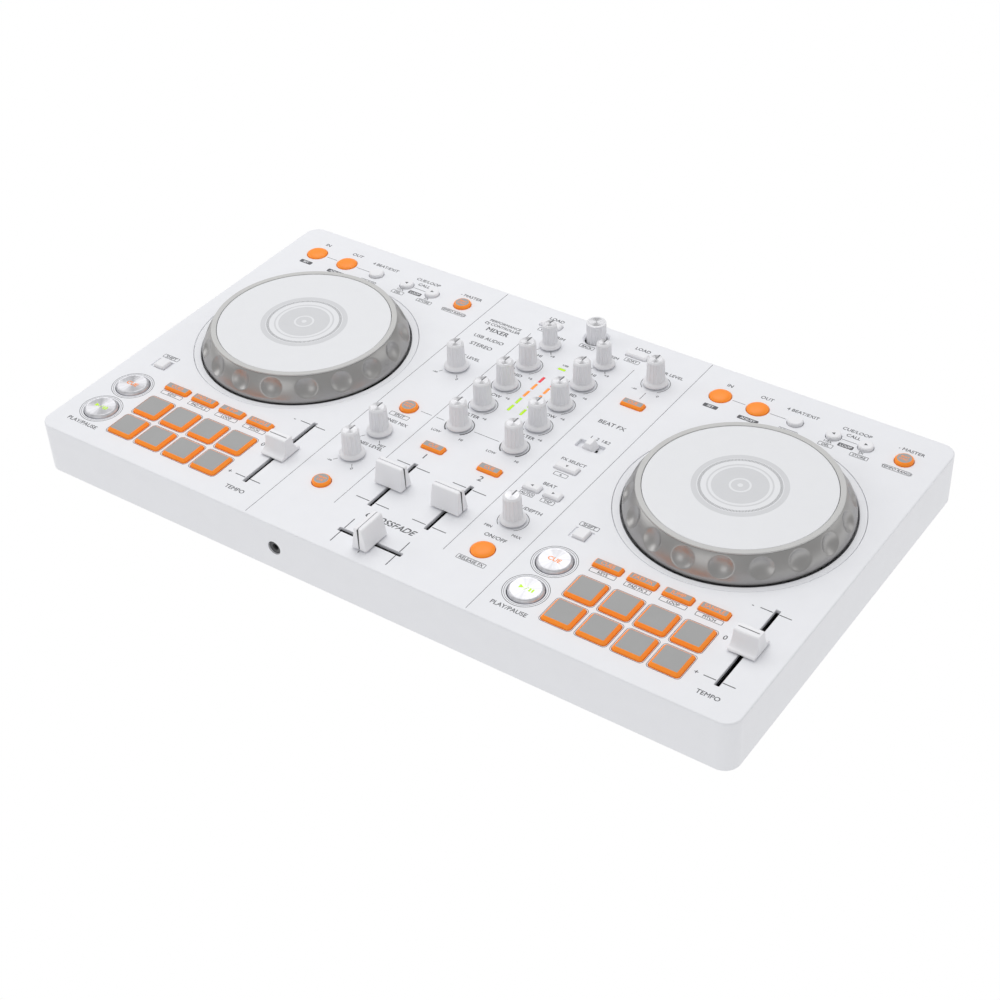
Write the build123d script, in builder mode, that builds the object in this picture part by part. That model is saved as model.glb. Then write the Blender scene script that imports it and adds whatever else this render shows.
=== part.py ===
from build123d import *
from math import atan, degrees
import os

os.makedirs("parts", exist_ok=True)

# Two-deck DJ controller. Millimetres, +Z up, +Y to the back, +X to the right.
# The origin is on the table, under the middle of the whole object's box.

# ---- case ----
WIDTH, DEPTH = 482.0, 267.0      # outline of the case seen from above
SIDE_HEIGHT = 33.1               # height of the case's side walls
TOP_Z = 40.6                     # top face above the table
CORNER_R, EDGE_R = 9.5, 1.0      # upright corners, and the soft edge round the top face
WALL, PLATE = 2.5, 2.5           # thickness of the side walls and of the top face
SOCKET_REACH = 5.4               # how far the line sockets stand out of the back wall
MIDDLE_Y = -SOCKET_REACH / 2     # the middle of the case's outline
FIT = 0.35                       # gap round a key in its hole

# ---- levels below the top face ----
BOARD_TOP, BOARD = -11.0, 1.6    # panel boards
FLANGE_UP = 2.5 - SIDE_HEIGHT    # top of the bottom case's flange inside the walls
PAN_UNDER = 2.5 - TOP_Z          # underside of the tray
PAN_FLOOR = PAN_UNDER + 2.5      # its floor
BOSS_END = PAN_FLOOR + 2.0       # screw bosses meet the tray's pads here
FOOT_SINK = 0.6                  # feet sit in shallow pockets

PAN_INSET = 6.5                  # the tray's foot stands in from the walls
SCREWS = [(x, y) for x in (-229, -77, 77, 229) for y in (-121.5, 121.5)] + [(-229, 0), (229, 0)]
FEET = [(x, y) for x in (-205, 0, 205) for y in (-98, 98)]
FOOT_R = 9.0
PILLARS = [(x, y) for x in (-210, -105, -20, 20, 104, 209) for y in (-124, 124)]

# ---- decks: the left deck is the right one moved along X ----
DECKS = {"right": 0.0, "left": -313.7}
JOG_X, JOG_Y = 158.5, 19.3
JOG_HOLE_R, JOG_DISH_R = 67.0, 71.7
WELL_R, WELL_FLOOR = 68.5, -12.4
RIM_R, RIM_TOP_R, RIM_TOP_Z = 66.0, 58.7, 14.7
GRIP_IN_R, GRIP_TOP_Z = 55.3, 15.9
TOP_PLATE_R, TOP_PLATE_Z = 55.1, 15.6
DIMPLES, DIMPLE_BALL_R, DIMPLE_DEPTH = 18, 13.0, 1.7
SPINDLE_R, HUB_BORE_R = 5.95, 6.0
LOOP_KEYS = [(97.2, 6.8), (122.7, 6.8), (148.0, 4.8), (173.3, 4.6), (194.1, 4.6)]
LOOP_Y = 106.0
SYNC_X, SYNC_R = 218.5, 5.6
TRANSPORT_X, CUE_Y, PLAY_Y, TRANSPORT_R = 96.5, -75.1, -103.0, 10.8
SHIFT_Y, SHIFT_W, SHIFT_D = -48.0, 8.0, 8.5
PITCH, PAD = 22.1, 18.5
PAD_X, PAD_ROWS = 124.05, (-86.1, -108.2)
MODE_Y, MODE_W, MODE_D = -63.9, 17.8, 6.2
PADS = [(PAD_X + PITCH * i, y) for y in PAD_ROWS for i in range(4)]
MODES = [(PAD_X + PITCH * i, MODE_Y) for i in range(4)]
MIDDLE_PAD_X, PAD_MID_Y = PAD_X + 1.5 * PITCH, sum(PAD_ROWS) / 2
TEMPO_X, TEMPO_Y, TEMPO_SLOT = 218.3, -78.15, 66.3

# ---- mixer ----
COL, OUT = 20.0, 57.3            # channel columns and outer columns
KNOB_ROWS = {"trim": 96.3, "high": 71.5, "mid": 47.0, "low": 22.5, "filter": -2.0}
POTS = {f"{name}_knob_{n}": (x, y) for n, x in ((1, -COL), (2, COL)) for name, y in KNOB_ROWS.items()}
POTS.update({"mic_level_knob": (-OUT, 47.0), "headphone_mix_knob": (-OUT, -31.6),
             "headphone_level_knob": (-OUT, -58.0), "master_level_knob": (OUT, 96.3),
             "effect_depth_knob": (OUT, -58.0)})
BROWSE = (0.0, 119.0)
BROWSE_HOLE_R, BROWSE_DISH_R = 7.4, 8.7
KNOB_GAP, KNOB_TOP, TRIM_TOP, BROWSE_TOP = 1.0, 18.6, 17.4, 12.4
KNOB_BODY_Z, CROWN, FLUTES, FLUTE_R, FLUTE_DEPTH = 4.4, 1.1, 14, 0.9, 0.35
SHAFT_R, SHAFT_FIT = 3.0, 0.05
BAR_W, BAR_D = 15.0, 6.2         # the small oblong keys
LOAD_KEYS = [(-32.3, 116.0), (32.3, 116.0)]
CUE_SELECT = [(-20.2, -27.9), (20.1, -27.9), (57.1, 70.2)]
EFFECT_KEYS = [(OUT, -2.7, BAR_W), (50.2, -28.0, 11.0), (64.4, -28.0, 11.0)]
ASSIST_KEYS, ASSIST_R = [(-57.0, -3.0), (-57.0, -87.4)], 5.6
EFFECT_ON, EFFECT_ON_R = (OUT, -87.6), 6.9
SWITCH_X, SWITCH_Y, SWITCH_W, SWITCH_D, SWITCH_SINK = 57.2, 22.3, 17.5, 7.6, 1.5
CHANNEL_Y, CHANNEL_SLOT = -67.65, 45.3
CROSS_Y, CROSS_SLOT = -115.3, 44.2
SLOT_W = 3.0
METER_X, METER_ROWS = 4.5, (29.5, 38.0, 46.4, 55.0, 63.3)
LENSES = [(x, y, 1.6, 6.2) for y in METER_ROWS for x in (-METER_X, METER_X)] + [(0.0, 79.0, 5.0, 1.8)]
LENS_FIT = 0.05

# ---- sockets ----
PHONES_X, PHONES_Z, PHONES_R, PHONES_LENGTH = -56.7, -17.3, 1.8, 14.0
MIC_X, MIC_R, MIC_LENGTH = -60.0, 3.2, 28.0
LINE_X, LINE_PITCH, LINE_R = (34.0, 48.0), 14.0, 4.15
USB_X, USB_W, USB_H = 4.0, 9.0, 3.2
SOCKET_Z = -20.4
USB_Z = BOARD_TOP - BOARD - USB_H / 2

# ---- keys ----
KEY_RISE, TRANSPORT_RISE = 2.1, 3.0
FLANGE_TOP, FLANGE = -3.0, 1.0   # the rim that holds a key under the top face
STEM_END = -5.2                  # what reaches down to the switch under a key
SWITCH_TOP = -6.1


FRONT = Plane((0, MIDDLE_Y - DEPTH / 2, TOP_Z), x_dir=(1, 0, 0), z_dir=(0, -1, 0))
BACK = Plane((0, MIDDLE_Y + DEPTH / 2, TOP_Z), x_dir=(-1, 0, 0), z_dir=(0, 1, 0))


def deck(x, y, z=0.0):
    """Level plane at x, y on the top face, z above it."""
    return Plane((x, y + MIDDLE_Y, TOP_Z + z))


def block(x, y, z0, z1, w, d, r=0.0, mode=Mode.ADD):
    """Upright block w by d with corner radius r, from z0 up to z1."""
    with BuildSketch(deck(x, y, z0)) as outline:
        if r > 0:
            RectangleRounded(w, d, r)
        else:
            Rectangle(w, d)
    extrude(outline.sketch, amount=z1 - z0, mode=mode)


def disc(x, y, z0, z1, r, mode=Mode.ADD):
    """Upright cylinder of radius r, from z0 up to z1."""
    with BuildSketch(deck(x, y, z0)) as outline:
        Circle(r)
    extrude(outline.sketch, amount=z1 - z0, mode=mode)


def bar_key(x, y, w, d, r=1.2, rise=KEY_RISE, slope=0.8, flange=0.8):
    """Oblong key: straight sides, sloped edges of width slope, a holding rim and a stem."""
    block(x, y, FLANGE_TOP, rise - slope, w, d, r)
    with BuildSketch(deck(x, y, rise - slope)) as top:
        RectangleRounded(w, d, r)
    extrude(top.sketch, amount=slope, taper=degrees(atan(0.9)))
    if flange > 0:
        block(x, y, FLANGE_TOP - FLANGE, FLANGE_TOP, w + 2 * flange, d + 2 * flange)
    block(x, y, STEM_END, FLANGE_TOP - FLANGE, 3.0, 3.0)


def round_key(x, y, r, rise=KEY_RISE, slope=0.8, flange=0.8):
    """Round key with a sloped edge, a holding rim and a stem."""
    disc(x, y, FLANGE_TOP, rise - slope, r)
    with BuildSketch(deck(x, y, rise - slope)) as top:
        Circle(r)
    extrude(top.sketch, amount=slope, taper=45)
    if flange > 0:
        disc(x, y, FLANGE_TOP - FLANGE, FLANGE_TOP, r + flange)
    block(x, y, STEM_END, FLANGE_TOP - FLANGE, 3.0, 3.0)


def save(part, name):
    """Label one finished piece and write it under its own name."""
    part.label = name
    export_step(part, f"parts/{name}.step")


# ---- top case: walls, top face, jog wells and screw bosses in one moulding ----
with BuildPart() as top_case:
    block(0, 0, -SIDE_HEIGHT, 0, WIDTH, DEPTH, CORNER_R)
    fillet(top_case.faces().sort_by(Axis.Z)[-1].edges(), radius=EDGE_R)
    block(0, 0, -SIDE_HEIGHT, -PLATE, WIDTH - 2 * WALL, DEPTH - 2 * WALL, CORNER_R - WALL, Mode.SUBTRACT)
    for x, y in SCREWS:
        disc(x, y, BOSS_END, -PLATE, 3.5)
        disc(x, y, BOSS_END, -PLATE - 15.0, 1.5, Mode.SUBTRACT)
    for shift in DECKS.values():
        disc(JOG_X + shift, JOG_Y, WELL_FLOOR - 2, -PLATE, WELL_R + 2)
        disc(JOG_X + shift, JOG_Y, WELL_FLOOR, -PLATE, WELL_R, Mode.SUBTRACT)
        disc(JOG_X + shift, JOG_Y, -PLATE, 0, JOG_HOLE_R, Mode.SUBTRACT)
        with Locations(deck(JOG_X + shift, JOG_Y, -0.4)):
            Cone(JOG_HOLE_R, JOG_DISH_R, 0.8, mode=Mode.SUBTRACT)
        for x, r in LOOP_KEYS:
            disc(x + shift, LOOP_Y, -PLATE, 0, r + FIT, Mode.SUBTRACT)
        disc(SYNC_X + shift, LOOP_Y, -PLATE, 0, SYNC_R + FIT, Mode.SUBTRACT)
        for y in (CUE_Y, PLAY_Y):
            disc(TRANSPORT_X + shift, y, -PLATE, 0, TRANSPORT_R + 0.5, Mode.SUBTRACT)
        block(TRANSPORT_X + shift, SHIFT_Y, -0.8, 0, 12.4, 9.4, 0.8, Mode.SUBTRACT)
        block(TRANSPORT_X + shift, SHIFT_Y, -PLATE, 0, SHIFT_W + 2 * FIT, SHIFT_D + 2 * FIT, 0.8,
              Mode.SUBTRACT)
        for x, y in PADS:
            block(x + shift, y, -PLATE, 0, PAD + 2 * FIT, PAD + 2 * FIT, 2.2, Mode.SUBTRACT)
        for x, y in MODES:
            block(x + shift, y, -PLATE, 0, MODE_W + 2 * FIT, MODE_D + 2 * FIT, 1.5, Mode.SUBTRACT)
        block(TEMPO_X + shift, TEMPO_Y, -PLATE, 0, SLOT_W, TEMPO_SLOT, 0.5, Mode.SUBTRACT)
    for x, y in POTS.values():
        disc(x, y, -PLATE, 0, SHAFT_R + 0.9, Mode.SUBTRACT)
    disc(*BROWSE, -PLATE, 0, BROWSE_HOLE_R, Mode.SUBTRACT)
    with Locations(deck(*BROWSE, -0.6)):
        Cone(BROWSE_HOLE_R, BROWSE_DISH_R, 1.2, mode=Mode.SUBTRACT)
    for x, y, w in EFFECT_KEYS + [(x, y, BAR_W) for x, y in LOAD_KEYS + CUE_SELECT]:
        block(x, y, -PLATE, 0, w + 2 * FIT, BAR_D + 2 * FIT, 1.5, Mode.SUBTRACT)
    for x, y in ASSIST_KEYS:
        disc(x, y, -PLATE, 0, ASSIST_R + FIT, Mode.SUBTRACT)
    disc(*EFFECT_ON, -PLATE, 0, EFFECT_ON_R + FIT, Mode.SUBTRACT)
    block(SWITCH_X, SWITCH_Y, -SWITCH_SINK, 0, SWITCH_W, SWITCH_D, 1.0, Mode.SUBTRACT)
    block(SWITCH_X, SWITCH_Y, -PLATE, 0, 10.2, 2.0, 0.4, Mode.SUBTRACT)
    for x in (-COL, COL):
        block(x, CHANNEL_Y, -PLATE, 0, SLOT_W, CHANNEL_SLOT, 0.5, Mode.SUBTRACT)
    block(0, CROSS_Y, -PLATE, 0, CROSS_SLOT, SLOT_W, 0.5, Mode.SUBTRACT)
    for x, y, w, d in LENSES:
        block(x, y, -PLATE, 0, w + 2 * LENS_FIT, d + 2 * LENS_FIT, mode=Mode.SUBTRACT)
    with BuildSketch(FRONT):
        with Locations((PHONES_X, PHONES_Z)):
            Circle(4.5)
    extrude(amount=-WALL, mode=Mode.SUBTRACT)
    with BuildSketch(BACK):
        with Locations((-MIC_X, SOCKET_Z)):
            Circle(5.6)
        with Locations(*[(-x, SOCKET_Z) for x in LINE_X]):
            Circle(5.3)
        with Locations((-USB_X, USB_Z)):
            RectangleRounded(USB_W + 0.2, USB_H + 0.2, 1.5)
    extrude(amount=-WALL, mode=Mode.SUBTRACT)
save(top_case.part, "top_case")

# ---- bottom case: a flange inside the walls, and a shallow tray that carries feet and pillars ----
with BuildPart() as bottom_case:
    pan_w, pan_d = WIDTH - 2 * PAN_INSET, DEPTH - 2 * PAN_INSET
    block(0, 0, PAN_UNDER, FLANGE_UP, pan_w, pan_d, CORNER_R)
    fillet(bottom_case.faces().sort_by(Axis.Z)[0].edges(), radius=1.5)
    block(0, 0, -SIDE_HEIGHT, FLANGE_UP, WIDTH - 2 * WALL - 0.4, DEPTH - 2 * WALL - 0.4, CORNER_R - WALL)
    block(0, 0, PAN_FLOOR, FLANGE_UP, pan_w - 5, pan_d - 5, CORNER_R - 2.5, Mode.SUBTRACT)
    for x, y in PILLARS:
        disc(x, y, PAN_FLOOR, BOARD_TOP - BOARD, 3.0)
    for x, y in SCREWS:
        disc(x, y, PAN_FLOOR, FLANGE_UP, 4.8)
        disc(x, y, BOSS_END, FLANGE_UP, 3.7, Mode.SUBTRACT)
        disc(x, y, PAN_UNDER, BOSS_END, 1.7, Mode.SUBTRACT)
        disc(x, y, PAN_UNDER, PAN_UNDER + 2.0, 3.2, Mode.SUBTRACT)
    for x, y in FEET:
        disc(x, y, PAN_UNDER, PAN_UNDER + FOOT_SINK, FOOT_R + 0.1, Mode.SUBTRACT)
save(bottom_case.part, "bottom_case")

# ---- rubber feet ----
with BuildPart() as rubber_feet:
    for x, y in FEET:
        disc(x, y, -TOP_Z, PAN_UNDER + FOOT_SINK, FOOT_R)
    chamfer(rubber_feet.faces().group_by(Axis.Z)[0].edges(), length=0.5)
save(rubber_feet.part, "rubber_feet")

# ---- case screws: a pan head in the tray's counterbore and a shank in the boss ----
with BuildPart() as case_screws:
    for x, y in SCREWS:
        disc(x, y, PAN_UNDER + 0.3, PAN_UNDER + 2.0, 2.9)
        disc(x, y, PAN_UNDER + 2.0, PAN_UNDER + 14.0, 1.45)
        block(x, y, PAN_UNDER + 0.3, PAN_UNDER + 1.2, 2.6, 0.6, mode=Mode.SUBTRACT)
        block(x, y, PAN_UNDER + 0.3, PAN_UNDER + 1.2, 0.6, 2.6, mode=Mode.SUBTRACT)
save(case_screws.part, "case_screws")

# ---- circuit boards: five panel boards with a switch under each key ----
KEY_PLACES = list(LOAD_KEYS) + CUE_SELECT + ASSIST_KEYS + [EFFECT_ON] + [(x, y) for x, y, w in EFFECT_KEYS]
for shift in DECKS.values():
    KEY_PLACES += [(x + shift, LOOP_Y) for x, r in LOOP_KEYS] + [(SYNC_X + shift, LOOP_Y)]
    KEY_PLACES += [(TRANSPORT_X + shift, y) for y in (CUE_Y, PLAY_Y, SHIFT_Y)]
    KEY_PLACES += [(x + shift, y) for x, y in PADS + MODES]
with BuildPart() as circuit_boards:
    with BuildSketch(deck(0, 0, BOARD_TOP)):
        with Locations((0, -0.5)):
            Rectangle(144, 257)
        for shift in DECKS.values():
            with Locations((155 + shift, 111.5)):
                Rectangle(142, 33)
            with Locations((155 + shift, -92)):
                Rectangle(142, 74)
            with Locations((97 + shift, -48)):
                Rectangle(26, 20)
            with Locations((215.5 + shift, -46)):
                Rectangle(21, 20)
        with Locations(*SCREWS):
            Circle(4.5, mode=Mode.SUBTRACT)
    extrude(amount=-BOARD)
    for x, y in KEY_PLACES:
        block(x, y, BOARD_TOP, SWITCH_TOP - 1.4, 6.0, 6.0)
        disc(x, y, SWITCH_TOP - 1.4, SWITCH_TOP, 1.6)
    block(SWITCH_X, SWITCH_Y, BOARD_TOP, -7.4, 13.0, 6.0)
    for x, y, w, d in LENSES:
        block(x, y, BOARD_TOP, -PLATE - 0.5, 1.6, 1.8)
    for x, y, side in ((0, 30, 14), (-40, 60, 9), (35, 60, 9), (0, -70, 12)):
        block(x, y, BOARD_TOP - BOARD - 1.2, BOARD_TOP - BOARD, side, side)
    for shift in DECKS.values():
        x0 = JOG_X + shift
        block(x0 + 51, JOG_Y, WELL_FLOOR, WELL_FLOOR + 1.6, 14, 20)
        block(x0 + 51, JOG_Y, WELL_FLOOR + 1.6, 5.0, 10.0, 6.0)
        block(x0 + 51, JOG_Y, 0.5, 5.0, 4.0, 6.0, mode=Mode.SUBTRACT)
save(circuit_boards.part, "circuit_boards")

# ---- potentiometers: the fixed body of each rotary control ----
with BuildPart() as potentiometers:
    for x, y in list(POTS.values()) + [BROWSE]:
        block(x, y, BOARD_TOP, -4.6, 11.0, 11.0, 0.8)
        disc(x, y, BOARD_TOP, -4.6, SHAFT_R + SHAFT_FIT, Mode.SUBTRACT)
save(potentiometers.part, "potentiometers")

# ---- fader units: a slotted metal channel under each fader's slot ----
FADERS = {"left_tempo_fader_cap": (TEMPO_X + DECKS["left"], TEMPO_Y, TEMPO_SLOT, 0),
          "right_tempo_fader_cap": (TEMPO_X, TEMPO_Y, TEMPO_SLOT, 0),
          "channel_fader_cap_1": (-COL, CHANNEL_Y, CHANNEL_SLOT, 0),
          "channel_fader_cap_2": (COL, CHANNEL_Y, CHANNEL_SLOT, 0),
          "crossfader_cap": (0.0, CROSS_Y, CROSS_SLOT, 90)}
UNIT_TOP, UNIT_W, UNIT_EXTRA = -3.4, 9.5, 16.0
with BuildPart() as fader_units:
    for x, y, slot, turn in FADERS.values():
        lie = deck(x, y, BOARD_TOP).rotated((0, 0, turn))
        with Locations(lie):
            along = slot + UNIT_EXTRA
            height = UNIT_TOP - BOARD_TOP
            up = (Align.CENTER, Align.CENTER, Align.MIN)
            Box(UNIT_W, along, height, align=up)
        with Locations(lie.offset(1.0)):
            Box(UNIT_W - 3, along - 3, height - 2, align=up, mode=Mode.SUBTRACT)
        with Locations(lie.offset(height - 1.0)):
            Box(2.4, slot, 1.0, align=up, mode=Mode.SUBTRACT)
save(fader_units.part, "fader_units")

# ---- rear sockets: microphone jack, two line sockets and a USB-C socket ----
with BuildPart() as rear_sockets:
    under = BOARD_TOP - BOARD
    inside_y = DEPTH / 2 - WALL - 2.0
    block(MIC_X, inside_y - 13, SOCKET_Z - 7.5, under, 16.0, 26.0)
    block(sum(LINE_X) / 2, inside_y - 5, SOCKET_Z - 6.5, under, LINE_PITCH + 13, 10.0)
    with BuildSketch(BACK):
        with Locations((-MIC_X, SOCKET_Z)):
            Circle(5.5)
        with Locations(*[(-x, SOCKET_Z) for x in LINE_X]):
            Circle(5.2)
    extrude(amount=-WALL - 2.0)
    with BuildSketch(BACK):
        with Locations((-MIC_X, SOCKET_Z)):
            RegularPolygon(7.0, 6)
    extrude(amount=2.0)
    with BuildSketch(BACK):
        with Locations(*[(-x, SOCKET_Z) for x in LINE_X]):
            Circle(LINE_R)
    extrude(amount=SOCKET_REACH)
    with BuildSketch(BACK.offset(2.0)):
        with Locations((-MIC_X, SOCKET_Z)):
            Circle(MIC_R)
    extrude(amount=-MIC_LENGTH, mode=Mode.SUBTRACT)
    with BuildSketch(BACK.offset(SOCKET_REACH)):
        with Locations(*[(-x, SOCKET_Z) for x in LINE_X]):
            Circle(1.65)
    extrude(amount=-12.0, mode=Mode.SUBTRACT)
    with BuildSketch(BACK.offset(-0.3)):
        with Locations((-USB_X, USB_Z)):
            RectangleRounded(USB_W, USB_H, 1.4)
    extrude(amount=-7.5)
    with BuildSketch(BACK.offset(-0.3)):
        with Locations((-USB_X, USB_Z)):
            RectangleRounded(USB_W - 0.6, USB_H - 0.6, 1.1)
            Rectangle(6.7, 0.7, mode=Mode.SUBTRACT)
    extrude(amount=-6.5, mode=Mode.SUBTRACT)
save(rear_sockets.part, "rear_sockets")

# ---- headphone jack in the front wall ----
with BuildPart() as headphone_jack:
    with BuildSketch(FRONT.offset(-0.8)):
        with Locations((PHONES_X, PHONES_Z)):
            Circle(4.4)
    extrude(amount=-WALL - 0.4)
    with BuildSketch(FRONT.offset(-WALL - 1.2)):
        with Locations((PHONES_X, PHONES_Z + 0.6)):
            Rectangle(9.0, 8.1)
    extrude(amount=-12.0)
    with BuildSketch(FRONT.offset(-0.8)):
        with Locations((PHONES_X, PHONES_Z)):
            Circle(PHONES_R)
    extrude(amount=-PHONES_LENGTH, mode=Mode.SUBTRACT)
save(headphone_jack.part, "headphone_jack")

# ---- level meter lenses: ten bars and one lamp set in the top face ----
with BuildPart() as level_meter_lenses:
    for x, y, w, d in LENSES:
        block(x, y, -PLATE, 0.0, w, d)
save(level_meter_lenses.part, "level_meter_lenses")

# ---- jog spindles: a flanged post on each well's floor ----
with BuildPart() as jog_spindles:
    for shift in DECKS.values():
        disc(JOG_X + shift, JOG_Y, WELL_FLOOR, WELL_FLOOR + 2.0, 14.0)
        disc(JOG_X + shift, JOG_Y, WELL_FLOOR + 2.0, 9.3, SPINDLE_R)
save(jog_spindles.part, "jog_spindles")

# ---- jog wheels: rim, grip ring, top plate and carrier turn together ----
RIM_FOOT, RIM_SEAT_R = -1.0, 56.6
CARRIER_TOP, CARRIER_R = 13.0, 56.3
WELL_GAP = 0.1
for side, shift in DECKS.items():
    centre = deck(JOG_X + shift, JOG_Y)
    section = Plane(centre.origin, x_dir=(1, 0, 0), z_dir=(0, -1, 0))
    spin_axis = Axis(centre.origin, (0, 0, 1))
    with BuildPart() as jog_rim:
        with BuildSketch(section):
            with BuildLine():
                Polyline((RIM_R, 1.6), (RIM_R, RIM_FOOT), (RIM_R - 4, RIM_FOOT), (RIM_SEAT_R, 10.4),
                         (RIM_SEAT_R, RIM_TOP_Z), (RIM_TOP_R, RIM_TOP_Z))
                ThreePointArc((RIM_TOP_R, RIM_TOP_Z), (63.1, 8.9), (RIM_R, 1.6))
            make_face()
        revolve(axis=spin_axis)
        reach = 62.7 + DIMPLE_BALL_R - DIMPLE_DEPTH
        with Locations(centre.offset(8.0)):
            with PolarLocations(reach, DIMPLES, start_angle=-90):
                with Locations((0, 0, 3.5)):
                    Sphere(DIMPLE_BALL_R, mode=Mode.SUBTRACT)
    save(jog_rim.part, f"{side}_jog_rim")

    with BuildPart() as jog_grip_ring:
        with BuildSketch(deck(JOG_X + shift, JOG_Y, RIM_TOP_Z)):
            Circle(RIM_TOP_R)
            Circle(GRIP_IN_R, mode=Mode.SUBTRACT)
        extrude(amount=GRIP_TOP_Z - RIM_TOP_Z)
        fillet(jog_grip_ring.faces().sort_by(Axis.Z)[-1].edges(), radius=0.5)
    save(jog_grip_ring.part, f"{side}_jog_grip_ring")

    with BuildPart() as jog_top_plate:
        disc(JOG_X + shift, JOG_Y, CARRIER_TOP, TOP_PLATE_Z, TOP_PLATE_R)
        fillet(jog_top_plate.faces().sort_by(Axis.Z)[-1].edges(), radius=0.4)
    save(jog_top_plate.part, f"{side}_jog_top_plate")

    with BuildPart() as jog_carrier:
        disc(JOG_X + shift, JOG_Y, CARRIER_TOP - 2.4, CARRIER_TOP, CARRIER_R)
        disc(JOG_X + shift, JOG_Y, 2.0, CARRIER_TOP - 2.4, 51.6)
        disc(JOG_X + shift, JOG_Y, 2.0, CARRIER_TOP - 2.4, 50.4, Mode.SUBTRACT)
        with Locations(centre.offset(2.0)):
            with PolarLocations(51.0, 36):
                Box(3.0, 2.2, 5.0, align=(Align.CENTER, Align.CENTER, Align.MIN), mode=Mode.SUBTRACT)
        disc(JOG_X + shift, JOG_Y, WELL_FLOOR + 2.0 + WELL_GAP, CARRIER_TOP - 2.4, 10.0)
        disc(JOG_X + shift, JOG_Y, WELL_FLOOR + 2.0 + WELL_GAP, 9.5, HUB_BORE_R, Mode.SUBTRACT)
    save(jog_carrier.part, f"{side}_jog_carrier")

# ---- rotary knobs: a skirted, fluted cap pressed on its shaft ----
for name, (x, y) in POTS.items():
    small = name.startswith("trim")
    skirt_r, body_r, top_r, top_z = (7.0, 4.9, 4.6, TRIM_TOP) if small else (7.9, 5.8, 5.4, KNOB_TOP)
    centre = deck(x, y)
    with BuildPart() as knob:
        with BuildSketch(Plane(centre.origin, x_dir=(1, 0, 0), z_dir=(0, -1, 0))):
            with BuildLine():
                Polyline((body_r - 0.6, KNOB_BODY_Z), (0, KNOB_BODY_Z), (0, KNOB_GAP), (skirt_r, KNOB_GAP),
                         (skirt_r, KNOB_GAP + 1.1))
                ThreePointArc((skirt_r, KNOB_GAP + 1.1), (body_r + 0.6, 3.0), (body_r - 0.6, KNOB_BODY_Z))
            make_face()
        revolve(axis=Axis(centre.origin, (0, 0, 1)))
        with BuildSketch(deck(x, y, 3.0)):
            Circle(body_r)
            with PolarLocations(body_r + FLUTE_R - FLUTE_DEPTH, FLUTES):
                Circle(FLUTE_R, mode=Mode.SUBTRACT)
        extrude(amount=top_z - CROWN - 3.0, taper=degrees(atan((body_r - top_r) / (top_z - 4.1))))
        disc(x, y, top_z - 2.0, top_z - CROWN, top_r)
        with Locations(deck(x, y, top_z - CROWN / 2)):
            Cone(top_r, top_r - CROWN, CROWN)
        block(x, y + top_r / 2, top_z - 0.3, top_z, 0.9, top_r, mode=Mode.SUBTRACT)
        disc(x, y, KNOB_GAP, 9.0 + SHAFT_FIT, SHAFT_R + SHAFT_FIT, Mode.SUBTRACT)
        disc(x, y, BOARD_TOP + 0.5, 9.0, SHAFT_R)
    save(knob.part, name)

# ---- browse knob: a plain ribbed cap that stands in its own round opening ----
with BuildPart() as browse_knob:
    with BuildSketch(deck(*BROWSE, -4.0)):
        Circle(6.4)
        with PolarLocations(7.5, 12):
            Circle(1.4, mode=Mode.SUBTRACT)
    extrude(amount=BROWSE_TOP + 3.2)
    disc(*BROWSE, BROWSE_TOP - 2.0, BROWSE_TOP, 6.0)
    chamfer(browse_knob.faces().sort_by(Axis.Z)[-1].edges(), length=0.5)
    disc(*BROWSE, BOARD_TOP + 0.5, -4.0, SHAFT_R)
save(browse_knob.part, "browse_knob")

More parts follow.
